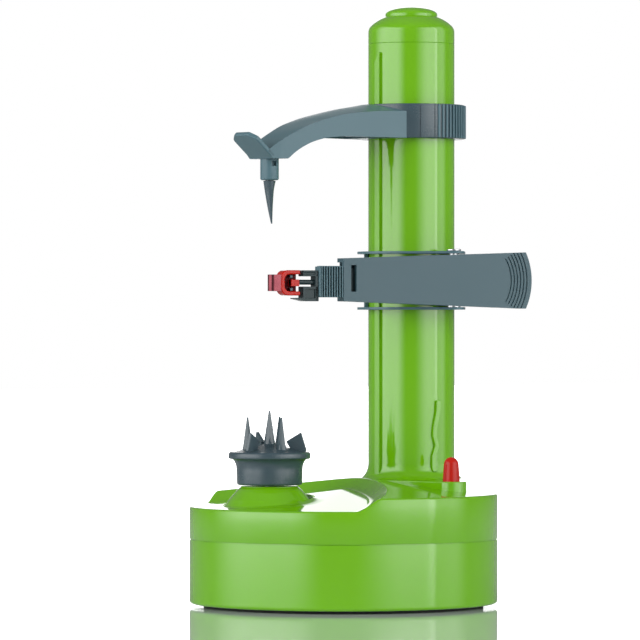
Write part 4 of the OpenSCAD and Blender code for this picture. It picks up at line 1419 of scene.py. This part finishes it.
@dataclass(frozen=True)
class Column:
    """The column with its flared foot, its cap and the round button on top."""

    radius: float = 20.9
    wall: float = 3.0
    foot_z: float = PLATE_Z
    flare_r: float = 26.3
    flare_h: float = 7.5
    joint_z: float = 270.5
    cap_side: float = 7.6
    shoulder: float = 5.9
    shoulder_line: tuple[Point, ...] = (
        (20.9, 5.6), (20.8, 6.8), (20.25, 8.2), (19.1, 9.5), (17.6, 10.75), (15.8, 11.95), (14.1, 12.85),
        (12.7, 13.5),
    )
    crown_r: float = 12.6
    crown_edge: float = 1.8
    crown_dome: float = 3.9
    slot_w: float = 7.0
    slot_turn: float = 60.0
    slot_low: float = 102.15
    slot_high: float = 188.45
    guide_w: float = 3.4
    guide_turn: float = 180.0
    cam_turn: float = -100.0
    cam_w: float = 2.4
    cam_h: float = 34.3
    rib_out: float = 1.4
    rib_in: float = 1.0
    cam_edge: tuple[Point, ...] = (
        (-0.4, 0.0), (-0.65, 0.05), (-0.65, 0.22), (0.05, 0.36), (-0.5, 0.51), (-0.35, 0.63), (0.35, 0.85),
        (0.45, 1.0),
    )

    def flare(self) -> list[tuple[float, float]]:
        """Returns the hollow curve from the plate to the column, from the outside inwards.

        Returns:
            The curve's points, as radius and height.
        """
        points = []
        for step in range(13):
            bend = math.radians(90.0 * step / 12)
            points.append((
                self.flare_r - (self.flare_r - self.radius) * math.sin(bend),
                self.foot_z + self.flare_h * (1 - math.cos(bend)),
            ))
        return points

    def tube(self, palette: Palette) -> None:
        """Makes the slotted column with the guide rib and the cam rib that stand out of it.

        Args:
            palette: The finishes.
        """
        inner = self.radius - self.wall
        tube = lathed("column_tube", [
            (inner, self.foot_z - 4.8), (inner + 1.5, self.foot_z - 4.8), (inner + 1.5, self.foot_z - 0.2),
            (self.radius, self.foot_z - 0.2), (self.radius, self.joint_z), (inner, self.joint_z),
        ], COLUMN_X, 0.0, 192)
        slot = block(
            "slot", (inner - 2.0, -self.slot_w / 2, self.slot_low),
            (self.radius + 2.0, self.slot_w / 2, self.slot_high), about(COLUMN_X, self.slot_turn),
        )
        put(smooth(cut(tube, slot)), Body.BASE, Slot.LIME, palette, "column")
        half = self.guide_w / 2
        guide = [
            (-half, self.foot_z), (half, self.foot_z), (half, self.joint_z - 4.2),
            (-half, self.joint_z - 9.0),
        ]
        low, width = self.foot_z + self.flare_h / 2, self.cam_w
        cam = [(across * width, low + up * self.cam_h) for across, up in self.cam_edge]
        cam += [((across + 1.0) * width, low + up * self.cam_h) for across, up in reversed(self.cam_edge)]
        sideways = Matrix(((0, 0, 1, 0), (1, 0, 0, 0), (0, 1, 0, 0), (0, 0, 0, 1)))
        ribs = [
            rounded(prism(
                name, outline, self.radius - self.rib_in, self.radius + self.rib_out,
                about(COLUMN_X, angle) @ sideways,
            ), 0.3, 3)
            for name, outline, angle in (
                ("guide_rib", guide, self.guide_turn), ("cam_rib", cam, self.cam_turn),
            )
        ]
        put(joined("column_ribs", ribs), Body.BASE, Slot.LIME, palette)

    def build(self, palette: Palette) -> None:
        """Makes the column, the flared foot, the cap and the button on top.

        Args:
            palette: The finishes.
        """
        self.tube(palette)
        inner = self.radius - 0.5
        foot = lathed("column_foot", [
            *self.flare(), (inner, self.foot_z + self.flare_h), (inner, self.foot_z - 0.4),
            (self.flare_r, self.foot_z - 0.4),
        ], COLUMN_X)
        put(foot, Body.BASE, Slot.LIME, palette)
        top, room = self.joint_z + self.cap_side, self.radius - self.wall
        crown = top + self.shoulder
        shell = [(self.radius - 0.25, self.joint_z), (self.radius, self.joint_z + 0.3)]
        shell += [(radius, self.joint_z + height) for radius, height in smoothed(self.shoulder_line, 4)]
        shell += [
            (self.crown_r + 0.2, crown), (self.crown_r + 0.15, crown - 1.7), (0.0, crown - 1.7),
            (0.0, top - 2.0), (room, top - 2.0), (room, self.joint_z),
        ]
        put(lathed("cap_skin", shell, COLUMN_X), Body.BASE, Slot.LIME, palette, "column_cap")
        edge = crown + self.crown_edge / 2
        dome = [
            (self.crown_r * math.cos(math.radians(a)), edge + self.crown_dome * math.sin(math.radians(a)))
            for a in range(6, 91, 6)
        ]
        low = crown - 1.6
        button = lathed("cap_button_skin", [
            (0.0, low), (self.crown_r - 0.1, low), (self.crown_r, edge), *dome[:-1],
            (0.0, edge + self.crown_dome),
        ], COLUMN_X)
        put(button, Body.BASE, Slot.LIME, palette, "cap_button")


# Food holder and start button


@dataclass(frozen=True)
class FoodHolder:
    """The turning holder: a flared body with a thick round rim, three fins and four fluted spikes."""

    rim_r: float = 19.4
    rim_h: float = 3.3
    body_r: float = 15.4
    low: float = 58.91
    body_h: float = 12.4
    flare_share: float = 0.45
    rise: float = 3.8
    fin_half: float = 0.8
    fin_turn: float = -47.0
    flutes: int = 5
    middle_r: float = 2.95
    middle_h: float = 15.7
    outer_r: float = 2.65
    outer_h: float = 16.4
    spike_ring_r: float = 10.4
    spike_turns: tuple[float, ...] = (23.5, 143.5, 263.5)

    @property
    def rim_z(self) -> float:
        """Height of the rim's underside."""
        return self.low + self.body_h

    @property
    def top_z(self) -> float:
        """Height of the rim's top."""
        return self.rim_z + self.rim_h

    def body(self) -> list[Point]:
        """Returns the body's profile.

        Returns:
            The profile's points, as radius and height.
        """
        flare = self.body_h * self.flare_share
        curve = [
            (
                self.body_r + 0.2 + (self.rim_r - 1.3 - self.body_r) * (1 - math.cos(math.radians(a))),
                self.rim_z - flare * (1 - math.sin(math.radians(a))),
            )
            for a in range(0, 91, 9)
        ]
        rim = filleted((
            (self.rim_r - 1.5, self.rim_z, 0.0), (self.rim_r, self.rim_z, 1.6), (self.rim_r, self.top_z, 1.6),
            (self.rim_r - 2.6, self.top_z, 2.0), (2.4, self.top_z + self.rise, 0.8),
            (0.0, self.top_z + self.rise + 0.1, 0.0),
        ), 6, closed=False)
        foot = filleted((
            (0.0, self.low, 0.0), (self.body_r, self.low, 1.1), (*curve[0], 0.0),
        ), 5, closed=False)
        return [*foot[:-1], *curve[:-1], *rim]

    def build(self, palette: Palette) -> None:
        """Makes the body, the fins with Geometry Nodes and the spikes.

        Args:
            palette: The finishes.
        """
        body = lathed("holder_body", self.body(), FOOD_X, turns=128)
        cut(body, post("bore", SPINDLE_R, FOOD_X, 0.0, self.low - 1.0, self.rim_z))
        put(smooth(body), Body.TURNTABLE, Slot.DARK, palette, "food_holder")
        fin = slab("holder_fins", filleted((
            (11.4, self.top_z - 0.8, 0.0), (7.9, self.top_z + 4.9, 0.5), (15.1, self.top_z + 9.3, 0.35),
            (17.6, self.top_z + 1.0, 0.4), (16.9, self.top_z - 0.8, 0.0),
        ), 4), -self.fin_half, self.fin_half, about(0.0, self.fin_turn))
        rounded(fin, 0.3, 2)
        fins = Repeat("holder_fins", 3, turn=120.0).laid(fin, palette, Slot.DARK)
        put(moved(fins, FOOD_X), Body.TURNTABLE, Slot.DARK, palette)
        crest = self.top_z + self.rise
        middle = Spike(self.middle_r, 0.42, self.flutes).solid(
            "holder_spikes", FOOD_X, 0.0, crest - 0.6, crest + self.middle_h, 12.0
        )
        ring = self.spike_ring_r
        outer = [
            Spike(self.outer_r, 0.4, self.flutes).solid(
                "outer_spike", FOOD_X + ring * math.cos(math.radians(a)), ring * math.sin(math.radians(a)),
                self.top_z + 0.6, self.top_z + self.outer_h, a + 20.0,
            )
            for a in self.spike_turns
        ]
        put(smooth(joined("holder_spikes", (middle, *outer)), 38.0), Body.TURNTABLE, Slot.DARK, palette)


@dataclass(frozen=True)
class StartButton:
    """The red start button with its domed top, its flange and its stem."""

    radius: float = 4.0
    height: float = 11.6
    dome_r: float = 3.55
    dome_h: float = 3.7
    stem_r: float = 2.0
    stem_l: float = 9.6
    flange_drop: float = 3.15

    def build(self, palette: Palette) -> None:
        """Makes the button.

        Args:
            palette: The finishes.
        """
        low, flange = PLATE_Z - self.stem_l, PLATE_Z - self.flange_drop
        top = PLATE_Z + self.height
        rounds = [math.radians(a) for a in range(0, 90, 9)]
        dome = [
            (self.dome_r * math.cos(a), top - self.dome_h + self.dome_h * math.sin(a)) for a in rounds
        ]
        skin = lathed("button_skin", [
            (0.0, low), (self.stem_r, low), (self.stem_r, flange), (self.radius - 0.05, flange),
            (self.radius, PLATE_Z + 0.2), (self.radius, PLATE_Z + 1.8), *dome, (0.0, top),
        ], BUTTON_X, BUTTON_Y, 72)
        put(skin, Body.BUTTON, Slot.RED, palette, "start_button")


# Carriage and lever


@dataclass(frozen=True)
class Lever:
    """The peeling lever: a channel that widens to the thumb tab, with a ribbed neck and a fork."""

    z: float = 156.05
    length: float = 62.9
    end_h: float = 20.4
    tab_h: float = 27.2
    tab_l: float = 40.2
    tab_r: float = 30.0
    back: float = -1.0
    front: float = 5.5
    wall: float = 2.0
    middle_y: float = 2.0
    neck_l: float = 13.0
    neck_h: float = 14.9
    neck_z: float = 155.15
    fork_l: float = 8.2
    axle_z: float = 154.85
    barrel_r: float = 4.5
    barrel_half: float = 11.4
    pin_room_r: float = 2.26
    seat_r: float = 3.55
    grooves: int = 6
    groove_pitch: float = 1.75
    groove_w: float = 0.7
    groove_deep: float = 0.55
    neck_ribs: int = 9
    window_back: float = 6.9
    window_front: float = 4.0
    window_half: float = 6.3
    window_rise: float = 1.6
    fork_half: float = 2.5
    bar_top: float = 160.45
    bar_low: float = 157.6
    block_top: float = 152.8
    block_low: float = 145.85
    axle_r: float = 1.2
    axle_l: float = 12.6

    @property
    def place(self) -> Matrix:
        """The lever's own frame: x from the pivot to the blade, y away from the column."""
        return about(COLUMN_X, LEVER_TURN, PIVOT_Y)

    def outline(self, inset: float, end: float) -> list[Point]:
        """Returns the side view of the lever, narrower by inset, up to a place along it.

        Args:
            inset: How much narrower it is.
            end: Where it ends along the lever.

        Returns:
            The outline's points.
        """
        half = self.end_h / 2 - inset
        turn = math.asin(self.tab_h / 2 / self.tab_r)
        middle = self.tab_r - self.tab_l
        radius = self.tab_r - inset
        arc = []
        squeeze = 1 - 2 * inset / self.tab_h
        for step in range(17):
            angle = turn * (1 - step / 8)
            arc.append((
                middle - radius * math.cos(angle), self.z + squeeze * self.tab_r * math.sin(angle),
            ))
        return [(end, self.z - half), (end, self.z + half), *arc]

    def channel(self, palette: Palette) -> None:
        """Makes the lever's channel with its window, barrel and curved grooves.

        Args:
            palette: The finishes.
        """
        place = self.place
        shell = slab("lever_channel", self.outline(0.0, self.length), self.back, self.front, place)
        room = slab(
            "room", self.outline(self.wall, self.length + 1.0), self.back - 1.0, self.front - self.wall, place
        )
        z, half = self.neck_z + self.window_rise, self.window_half
        window = block(
            "window", (self.length - self.window_back, 1.0, z - half),
            (self.length - self.window_front, 7.0, z + half), place,
        )
        cut(shell, room, window)
        middle = self.tab_r - self.tab_l
        turns = [math.radians(-34.0 + 68.0 * step / 24) for step in range(25)]
        for k in range(self.grooves):
            outer = self.tab_r - 2.4 - self.groove_pitch * k
            inner = outer - self.groove_w
            arc = [(middle - outer * math.cos(t), self.z + outer * math.sin(t)) for t in turns]
            arc += [(middle - inner * math.cos(t), self.z + inner * math.sin(t)) for t in reversed(turns)]
            cut(shell, slab("groove", arc, self.front - self.groove_deep, self.front + 1.0, place))
        barrel = moved(
            post("barrel", self.barrel_r, 0, 0, self.z - self.barrel_half, self.z + self.barrel_half),
            COLUMN_X, PIVOT_Y,
        )
        bore = post("bore", self.pin_room_r, COLUMN_X, PIVOT_Y, 130.0, 180.0)
        seat = post("seat", self.seat_r, COLUMN_X, PIVOT_Y, 142.0, 149.8)
        closed = block(
            "end_wall", (self.length - 14.0, self.back, self.z - 8.6),
            (self.length - 1.2, self.back + 0.9, self.z + 8.6), place,
        )
        front = joined("lever_channel", (rounded(shell, 0.85, 4, 40.0), closed))
        # The lever takes the darker copy of grey_plastic as painted shade.
        shade = LEVER_SHADED_GREY.material()
        put(front, Body.LEVER, Slot.GREY, palette, "lever", shade=shade)
        put(smooth(cut(barrel, bore, seat)), Body.LEVER, Slot.GREY, palette, shade=shade)

    def neck(self, palette: Palette) -> None:
        """Makes the neck's ribs with Geometry Nodes, its core and its end plate.

        Args:
            palette: The finishes.
        """
        start = self.length
        step = (self.neck_l - 0.6) / self.neck_ribs
        near, far = self.middle_y - 1.2, self.middle_y + 3.3
        low, high = self.neck_z - self.neck_h / 2, self.neck_z + self.neck_h / 2
        rib = rounded(block(
            "neck_ribs", (start + 0.2, near, low), (start + 0.2 + step * 0.42, far, high)
        ), 0.12, 2)
        ribs = Repeat("neck_ribs", self.neck_ribs, step=(step, 0.0, 0.0)).laid(rib, palette, Slot.GREY)
        ribs.data.transform(self.metres())
        put(ribs, Body.LEVER, Slot.GREY, palette)
        finish = start + self.neck_l
        cores = [
            rounded(block(
                "neck_core", (left, near + 0.4, self.neck_z - half),
                (right, self.middle_y + front, self.neck_z + half), self.place,
            ), 0.2)
            for left, right, front, half in (
                (start - 12.0, start - 1.0, 0.9, 6.7), (start - 1.5, finish - 0.2, 2.3, 6.9),
            )
        ]
        put(joined("neck_core", cores), Body.LEVER, Slot.BLACK, palette, "blade_neck")
        end = block("neck_plate", (finish - 0.9, near, low + 0.3), (finish, far, high - 0.3), self.place)
        put(rounded(end, 0.25, 3), Body.LEVER, Slot.GREY, palette)

    def metres(self) -> Matrix:
        """Returns the lever's frame for meshes that are already in metres.

        Returns:
            The frame.
        """
        place = self.place.copy()
        place.translation *= MM
        return place

    def bar(
        self, name: str, radius: float, start: Sequence[float], end: Sequence[float], turns: int
    ) -> bpy.types.Object:
        """Makes a round bar between two points of the lever's own frame.

        Args:
            name: The piece's name.
            radius: Its radius.
            start: The middle of its first end.
            end: The middle of its other end.
            turns: Segments round it.

        Returns:
            The bar.
        """
        made = rod(name, radius, start, end, turns)
        made.data.transform(self.metres())
        return made

    def fork(self, palette: Palette) -> None:
        """Makes the fork: a top bar, a lower block with a sunk panel, and the axle between them.

        Args:
            palette: The finishes.
        """
        start = self.length + self.neck_l
        end = start + self.fork_l
        y_low, y_high = self.middle_y - self.fork_half, self.middle_y + self.fork_half
        back = block(
            "fork_back", (start - 0.2, y_low, self.block_low + 0.15),
            (start + 1.7, y_high, self.bar_top - 0.05), self.place,
        )
        bar = block("fork_bar", (start, y_low, self.bar_low), (end, y_high, self.bar_top), self.place)
        groove = block(
            "groove", (start + 1.6, y_high - 0.4, self.bar_low + 1.0),
            (end + 1.0, y_high + 1.0, self.bar_top - 0.95), self.place,
        )
        low = slab("fork_block", [
            (start, self.block_top), (end, self.block_top), (end, 147.5), (end + 4.4, 147.4),
            (end + 4.3, 147.0), (end - 1.2, self.block_low), (start, self.block_low),
        ], y_low, y_high, self.place)
        panel = block(
            "panel", (start + 1.5, y_high - 0.7, self.block_low + 1.45),
            (end - 1.4, y_high + 1.0, self.block_top - 1.2), self.place,
        )
        cut(bar, groove)
        cut(low, panel)
        pieces = [rounded(back, 0.25), rounded(bar, 0.22), rounded(low, 0.22)]
        put(joined("fork_skin", pieces), Body.LEVER, Slot.BLACK, palette, "blade_fork")
        root = start + 0.2
        axle = self.bar(
            "axle_skin", self.axle_r, (root, self.middle_y, self.axle_z),
            (root + self.axle_l, self.middle_y, self.axle_z), 40,
        )
        put(smooth(axle), Body.LEVER, Slot.BLACK, palette, "blade_axle")

    def build(self, palette: Palette) -> None:
        """Makes every piece of the lever.

        Args:
            palette: The finishes.
        """
        self.channel(palette)
        self.neck(palette)
        self.fork(palette)


@dataclass(frozen=True)
class BladeHead:
    """The red head that swivels on the fork's axle, with the bent steel blade round its end."""

    start: float = 85.7
    length: float = 10.2
    height: float = 12.0
    depth: float = 5.8
    z: float = 154.5
    y: float = 2.0
    rim: float = 2.0
    bore_r: float = 1.27
    blade_r: float = 2.45
    blade_h: float = 7.8
    blade_t: float = 0.55
    blade_leg: float = 3.0
    slit_turn: float = -78.0
    pin_r: float = 0.75
    pin_x: float = 3.5
    pin_z: float = 3.05

    def outline(self, inset: float, back: float, radius: float) -> list[Point]:
        """Returns the head's side view: square towards the fork and round at the blade.

        Args:
            inset: How much narrower it is.
            back: How much further back it starts.
            radius: Rounding at the blade.

        Returns:
            The outline's points.
        """
        end = self.start + self.length - inset
        half = self.height / 2 - inset
        return filleted((
            (self.start - back, self.z - half, 0.0), (end, self.z - half, radius),
            (end, self.z + half, radius), (self.start - back, self.z + half, 0.0),
        ), 8)

    def bore(self) -> bpy.types.Object:
        """Makes the axle's room, as a tool."""
        return Lever().bar(
            "bore", self.bore_r, (self.start - 1.0, self.y, self.z), (self.start + 4.65, self.y, self.z), 40
        )

    def build(self, palette: Palette) -> None:
        """Makes the tray, a dark red sheet of painted shade in it, its centre bar, the pins and the blade.

        Args:
            palette: The finishes.
        """
        place = Lever().place
        near, far = self.y - self.depth / 2, self.y + self.depth / 2
        tray = slab("head_tray", self.outline(0.0, 0.0, 3.6), near, far, place)
        room = slab("room", self.outline(self.rim, 1.0, 2.6), near + 0.9, far + 1.0, place)
        cut(tray, room)
        # A thin dark red sheet at the tray's floor paints the shade inside the hollow head.
        shade_sheet = slab("head_painted_shade_sheet", self.outline(self.rim - 0.1, 0.0, 2.6), near + 0.8, near + 1.1, place)
        put(shade_sheet, Body.HEAD, Slot.RED, palette, shade=PAINTED_SHADE_RED.material())
        bar = block(
            "head_bar", (self.start + 0.1, near + 1.0, self.z - 1.6),
            (self.start + 4.4, far - 0.9, self.z + 1.6), place,
        )
        cut(tray, self.bore())
        put(rounded(tray, 0.6, 3, 40.0), Body.HEAD, Slot.RED, palette, "blade_head")
        put(rounded(cut(bar, self.bore()), 0.25), Body.HEAD, Slot.RED, palette)
        x = self.start + self.pin_x
        pins = [
            rounded(Lever().bar("pin", self.pin_r, (x, far - 4.4, z), (x, far - 2.5, z), 28), 0.15)
            for z in (self.z - self.pin_z, self.z + self.pin_z)
        ]
        put(joined("head_pins", pins), Body.HEAD, Slot.GREY, palette, "blade_pins")
        self.blade(palette)

    def blade(self, palette: Palette) -> None:
        """Makes the bent strip with its cutting slit.

        Args:
            palette: The finishes.
        """
        root = self.start + self.length
        end = root + self.blade_leg
        outer, inner = self.blade_r, self.blade_r - self.blade_t
        arc = [math.radians(-90.0 + 180.0 * k / 32) for k in range(33)]
        plan = [(root - 0.4, self.y - outer)]
        plan += [(end + outer * math.cos(t), self.y + outer * math.sin(t)) for t in arc]
        plan += [(root - 0.4, self.y + outer), (root - 0.4, self.y + inner)]
        plan += [(end + inner * math.cos(t), self.y + inner * math.sin(t)) for t in reversed(arc)]
        plan.append((root - 0.4, self.y - inner))
        low, high = self.z - self.blade_h / 2, self.z + self.blade_h / 2
        strip = prism("blade_strip", plan, low, high, Lever().place)
        turn = Lever().place @ about(end, self.slit_turn, self.y)
        cut(strip, block("slit", (1.0, -0.6, low + 1.2), (7.0, 0.6, high - 1.2), turn))
        rounded(strip, 0.12, 2, 40.0)
        # The blade takes the dark red steel, a painted reflection of the head.
        put(strip, Body.HEAD, Slot.STEEL, palette, "blade", shade=BLADE_STEEL_PAINTED_REFLECTION.material())


# Studio


@dataclass(frozen=True)
class SoftBox:
    """A tall bright panel in the sky, between two angles from the camera, in degrees to its right."""

    left: float
    right: float
    left_soft: float
    right_soft: float
    bright: float
    high: float = 36.0

    def glow(self, turn: Term, climb: Term) -> Term:
        """Returns the panel's light for a direction.

        Args:
            turn: Degrees to the right of the camera, seen from the object.
            climb: Degrees above level.

        Returns:
            The light.
        """
        across = turn.rise(self.left - self.left_soft / 2, self.left + self.left_soft / 2) * turn.rise(
            self.right + self.right_soft / 2, self.right - self.right_soft / 2
        )
        return across * climb.rise(self.high + 8.0, self.high - 8.0) * self.bright


@dataclass(frozen=True)
class Studio:
    """A white table and backdrop with three soft boxes, seen through a long lens."""

    lens: float = 281.6
    sensor: float = 36.0
    distance: float = 2400.0
    azimuth: float = -40.0
    eye_height: float = 137.0
    aim_x: float = -8.63
    aim_y: float = 7.25
    fill: float = 0.24
    backdrop: float = 2.0
    backdrop_turn: tuple[float, float] = (171.0, 178.0)
    backdrop_climb: tuple[float, float] = (27.0, 11.0)
    roof: float = 0.1
    roof_climb: tuple[float, float] = (40.0, 80.0)
    table: float = 6000.0
    boxes: tuple[SoftBox, ...] = (
        SoftBox(-98.0, -28.0, 40.0, 28.0, 3.55),
        SoftBox(26.0, 72.0, 40.0, 4.0, 3.4),
        SoftBox(66.0, 98.0, 6.0, 20.0, 1.8),
    )

    def right(self) -> Vector:
        """Returns the direction to the camera's right."""
        angle = math.radians(self.azimuth)
        return Vector((math.cos(angle), math.sin(angle), 0.0))

    def back(self) -> Vector:
        """Returns the direction from the object to the camera."""
        angle = math.radians(self.azimuth)
        return Vector((math.sin(angle), -math.cos(angle), 0.0))

    def camera(self) -> None:
        """Adds the level camera at the photograph's angle."""
        data = bpy.data.cameras.new("camera")
        data.lens = self.lens
        data.sensor_width = self.sensor
        data.clip_end = 50.0
        view = bpy.data.objects.new("camera", data)
        bpy.context.scene.collection.objects.link(view)
        aim = Vector((self.aim_x, self.aim_y, self.eye_height))
        view.location = (aim + self.back() * self.distance) * MM
        view.rotation_euler = (-self.back()).to_track_quat("-Z", "Y").to_euler()
        bpy.context.scene.camera = view

    def sky(self) -> None:
        """Makes the world: white behind the object, soft boxes at its sides and a dim front."""
        graph = Graph("studio", world=True)
        ray = graph.node("ShaderNodeTexCoord", output="Generated")

        def part(axis: Vector) -> Term:
            """Returns the share of the ray along an axis."""
            return graph.node(
                "ShaderNodeVectorMath", {"operation": "DOT_PRODUCT"}, {0: ray, 1: axis}, "Value"
            )

        def maths(operation: str, *values: Term) -> Term:
            """Returns the result of one Math node."""
            return graph.node("ShaderNodeMath", {"operation": operation}, dict(enumerate(values)))

        degrees = 180.0 / math.pi
        turn = maths("ARCTAN2", part(self.right()), part(self.back())) * degrees
        climb = maths("ARCSINE", part(Vector((0.0, 0.0, 1.0)))) * degrees
        behind = maths("ABSOLUTE", turn).rise(*self.backdrop_turn) * climb.rise(*self.backdrop_climb)
        light = behind * self.backdrop + climb.rise(*self.roof_climb) * self.roof
        for box in self.boxes:
            light = light + box.glow(turn, climb)
        seen = graph.node("ShaderNodeLightPath", output="Is Camera Ray")
        graph.surface(Color=(1.0, 1.0, 1.0), Strength=(light + self.fill) * (1.0 - seen) + seen)
        bpy.context.scene.world = graph.owner

    def floor(self) -> None:
        """Adds the glossy white table."""
        form = bmesh.new()
        bmesh.ops.create_grid(form, x_segments=1, y_segments=1, size=self.table)
        table = from_bmesh("table", form)
        table.location.z = -0.00005
        graph = Graph("table")
        graph.surface(
            Base_Color=graph.blend(graph.noise(3.0), (0.8, 0.83, 0.85), (0.84, 0.87, 0.89)),
            Roughness=(graph.noise(30.0) * 0.02 + 0.04).clamp(0.0, 1.0),
        )
        table.data.materials.append(graph.owner)

    def build(self) -> None:
        """Sets up the whole studio."""
        bpy.context.scene.view_settings.view_transform = "Standard"
        self.sky()
        self.camera()
        self.floor()


def main() -> None:
    """Builds the studio and every piece, in order."""
    logging.basicConfig(level=logging.INFO, format="%(message)s")
    palette = Palette()
    palette.keep_nodes()
    Studio().build()
    for part in (
        TopCover(), ButtonPlate(), Column(), UpperArm(), TopSpike(), Lever(), BladeHead(), FoodHolder(),
        StartButton(),
    ):
        part.build(palette)
    for node, body, slot, width in (
        ("lower_housing", Body.BASE, Slot.LIME, 0.0), ("carriage", Body.CARRIAGE, Slot.GREY, 0.25),
        ("pivot_pin", Body.CARRIAGE, Slot.STEEL, 0.3),
    ):
        put(dressed_copy(node, width), body, slot, palette, node)


if __name__ == "__main__":
    main()
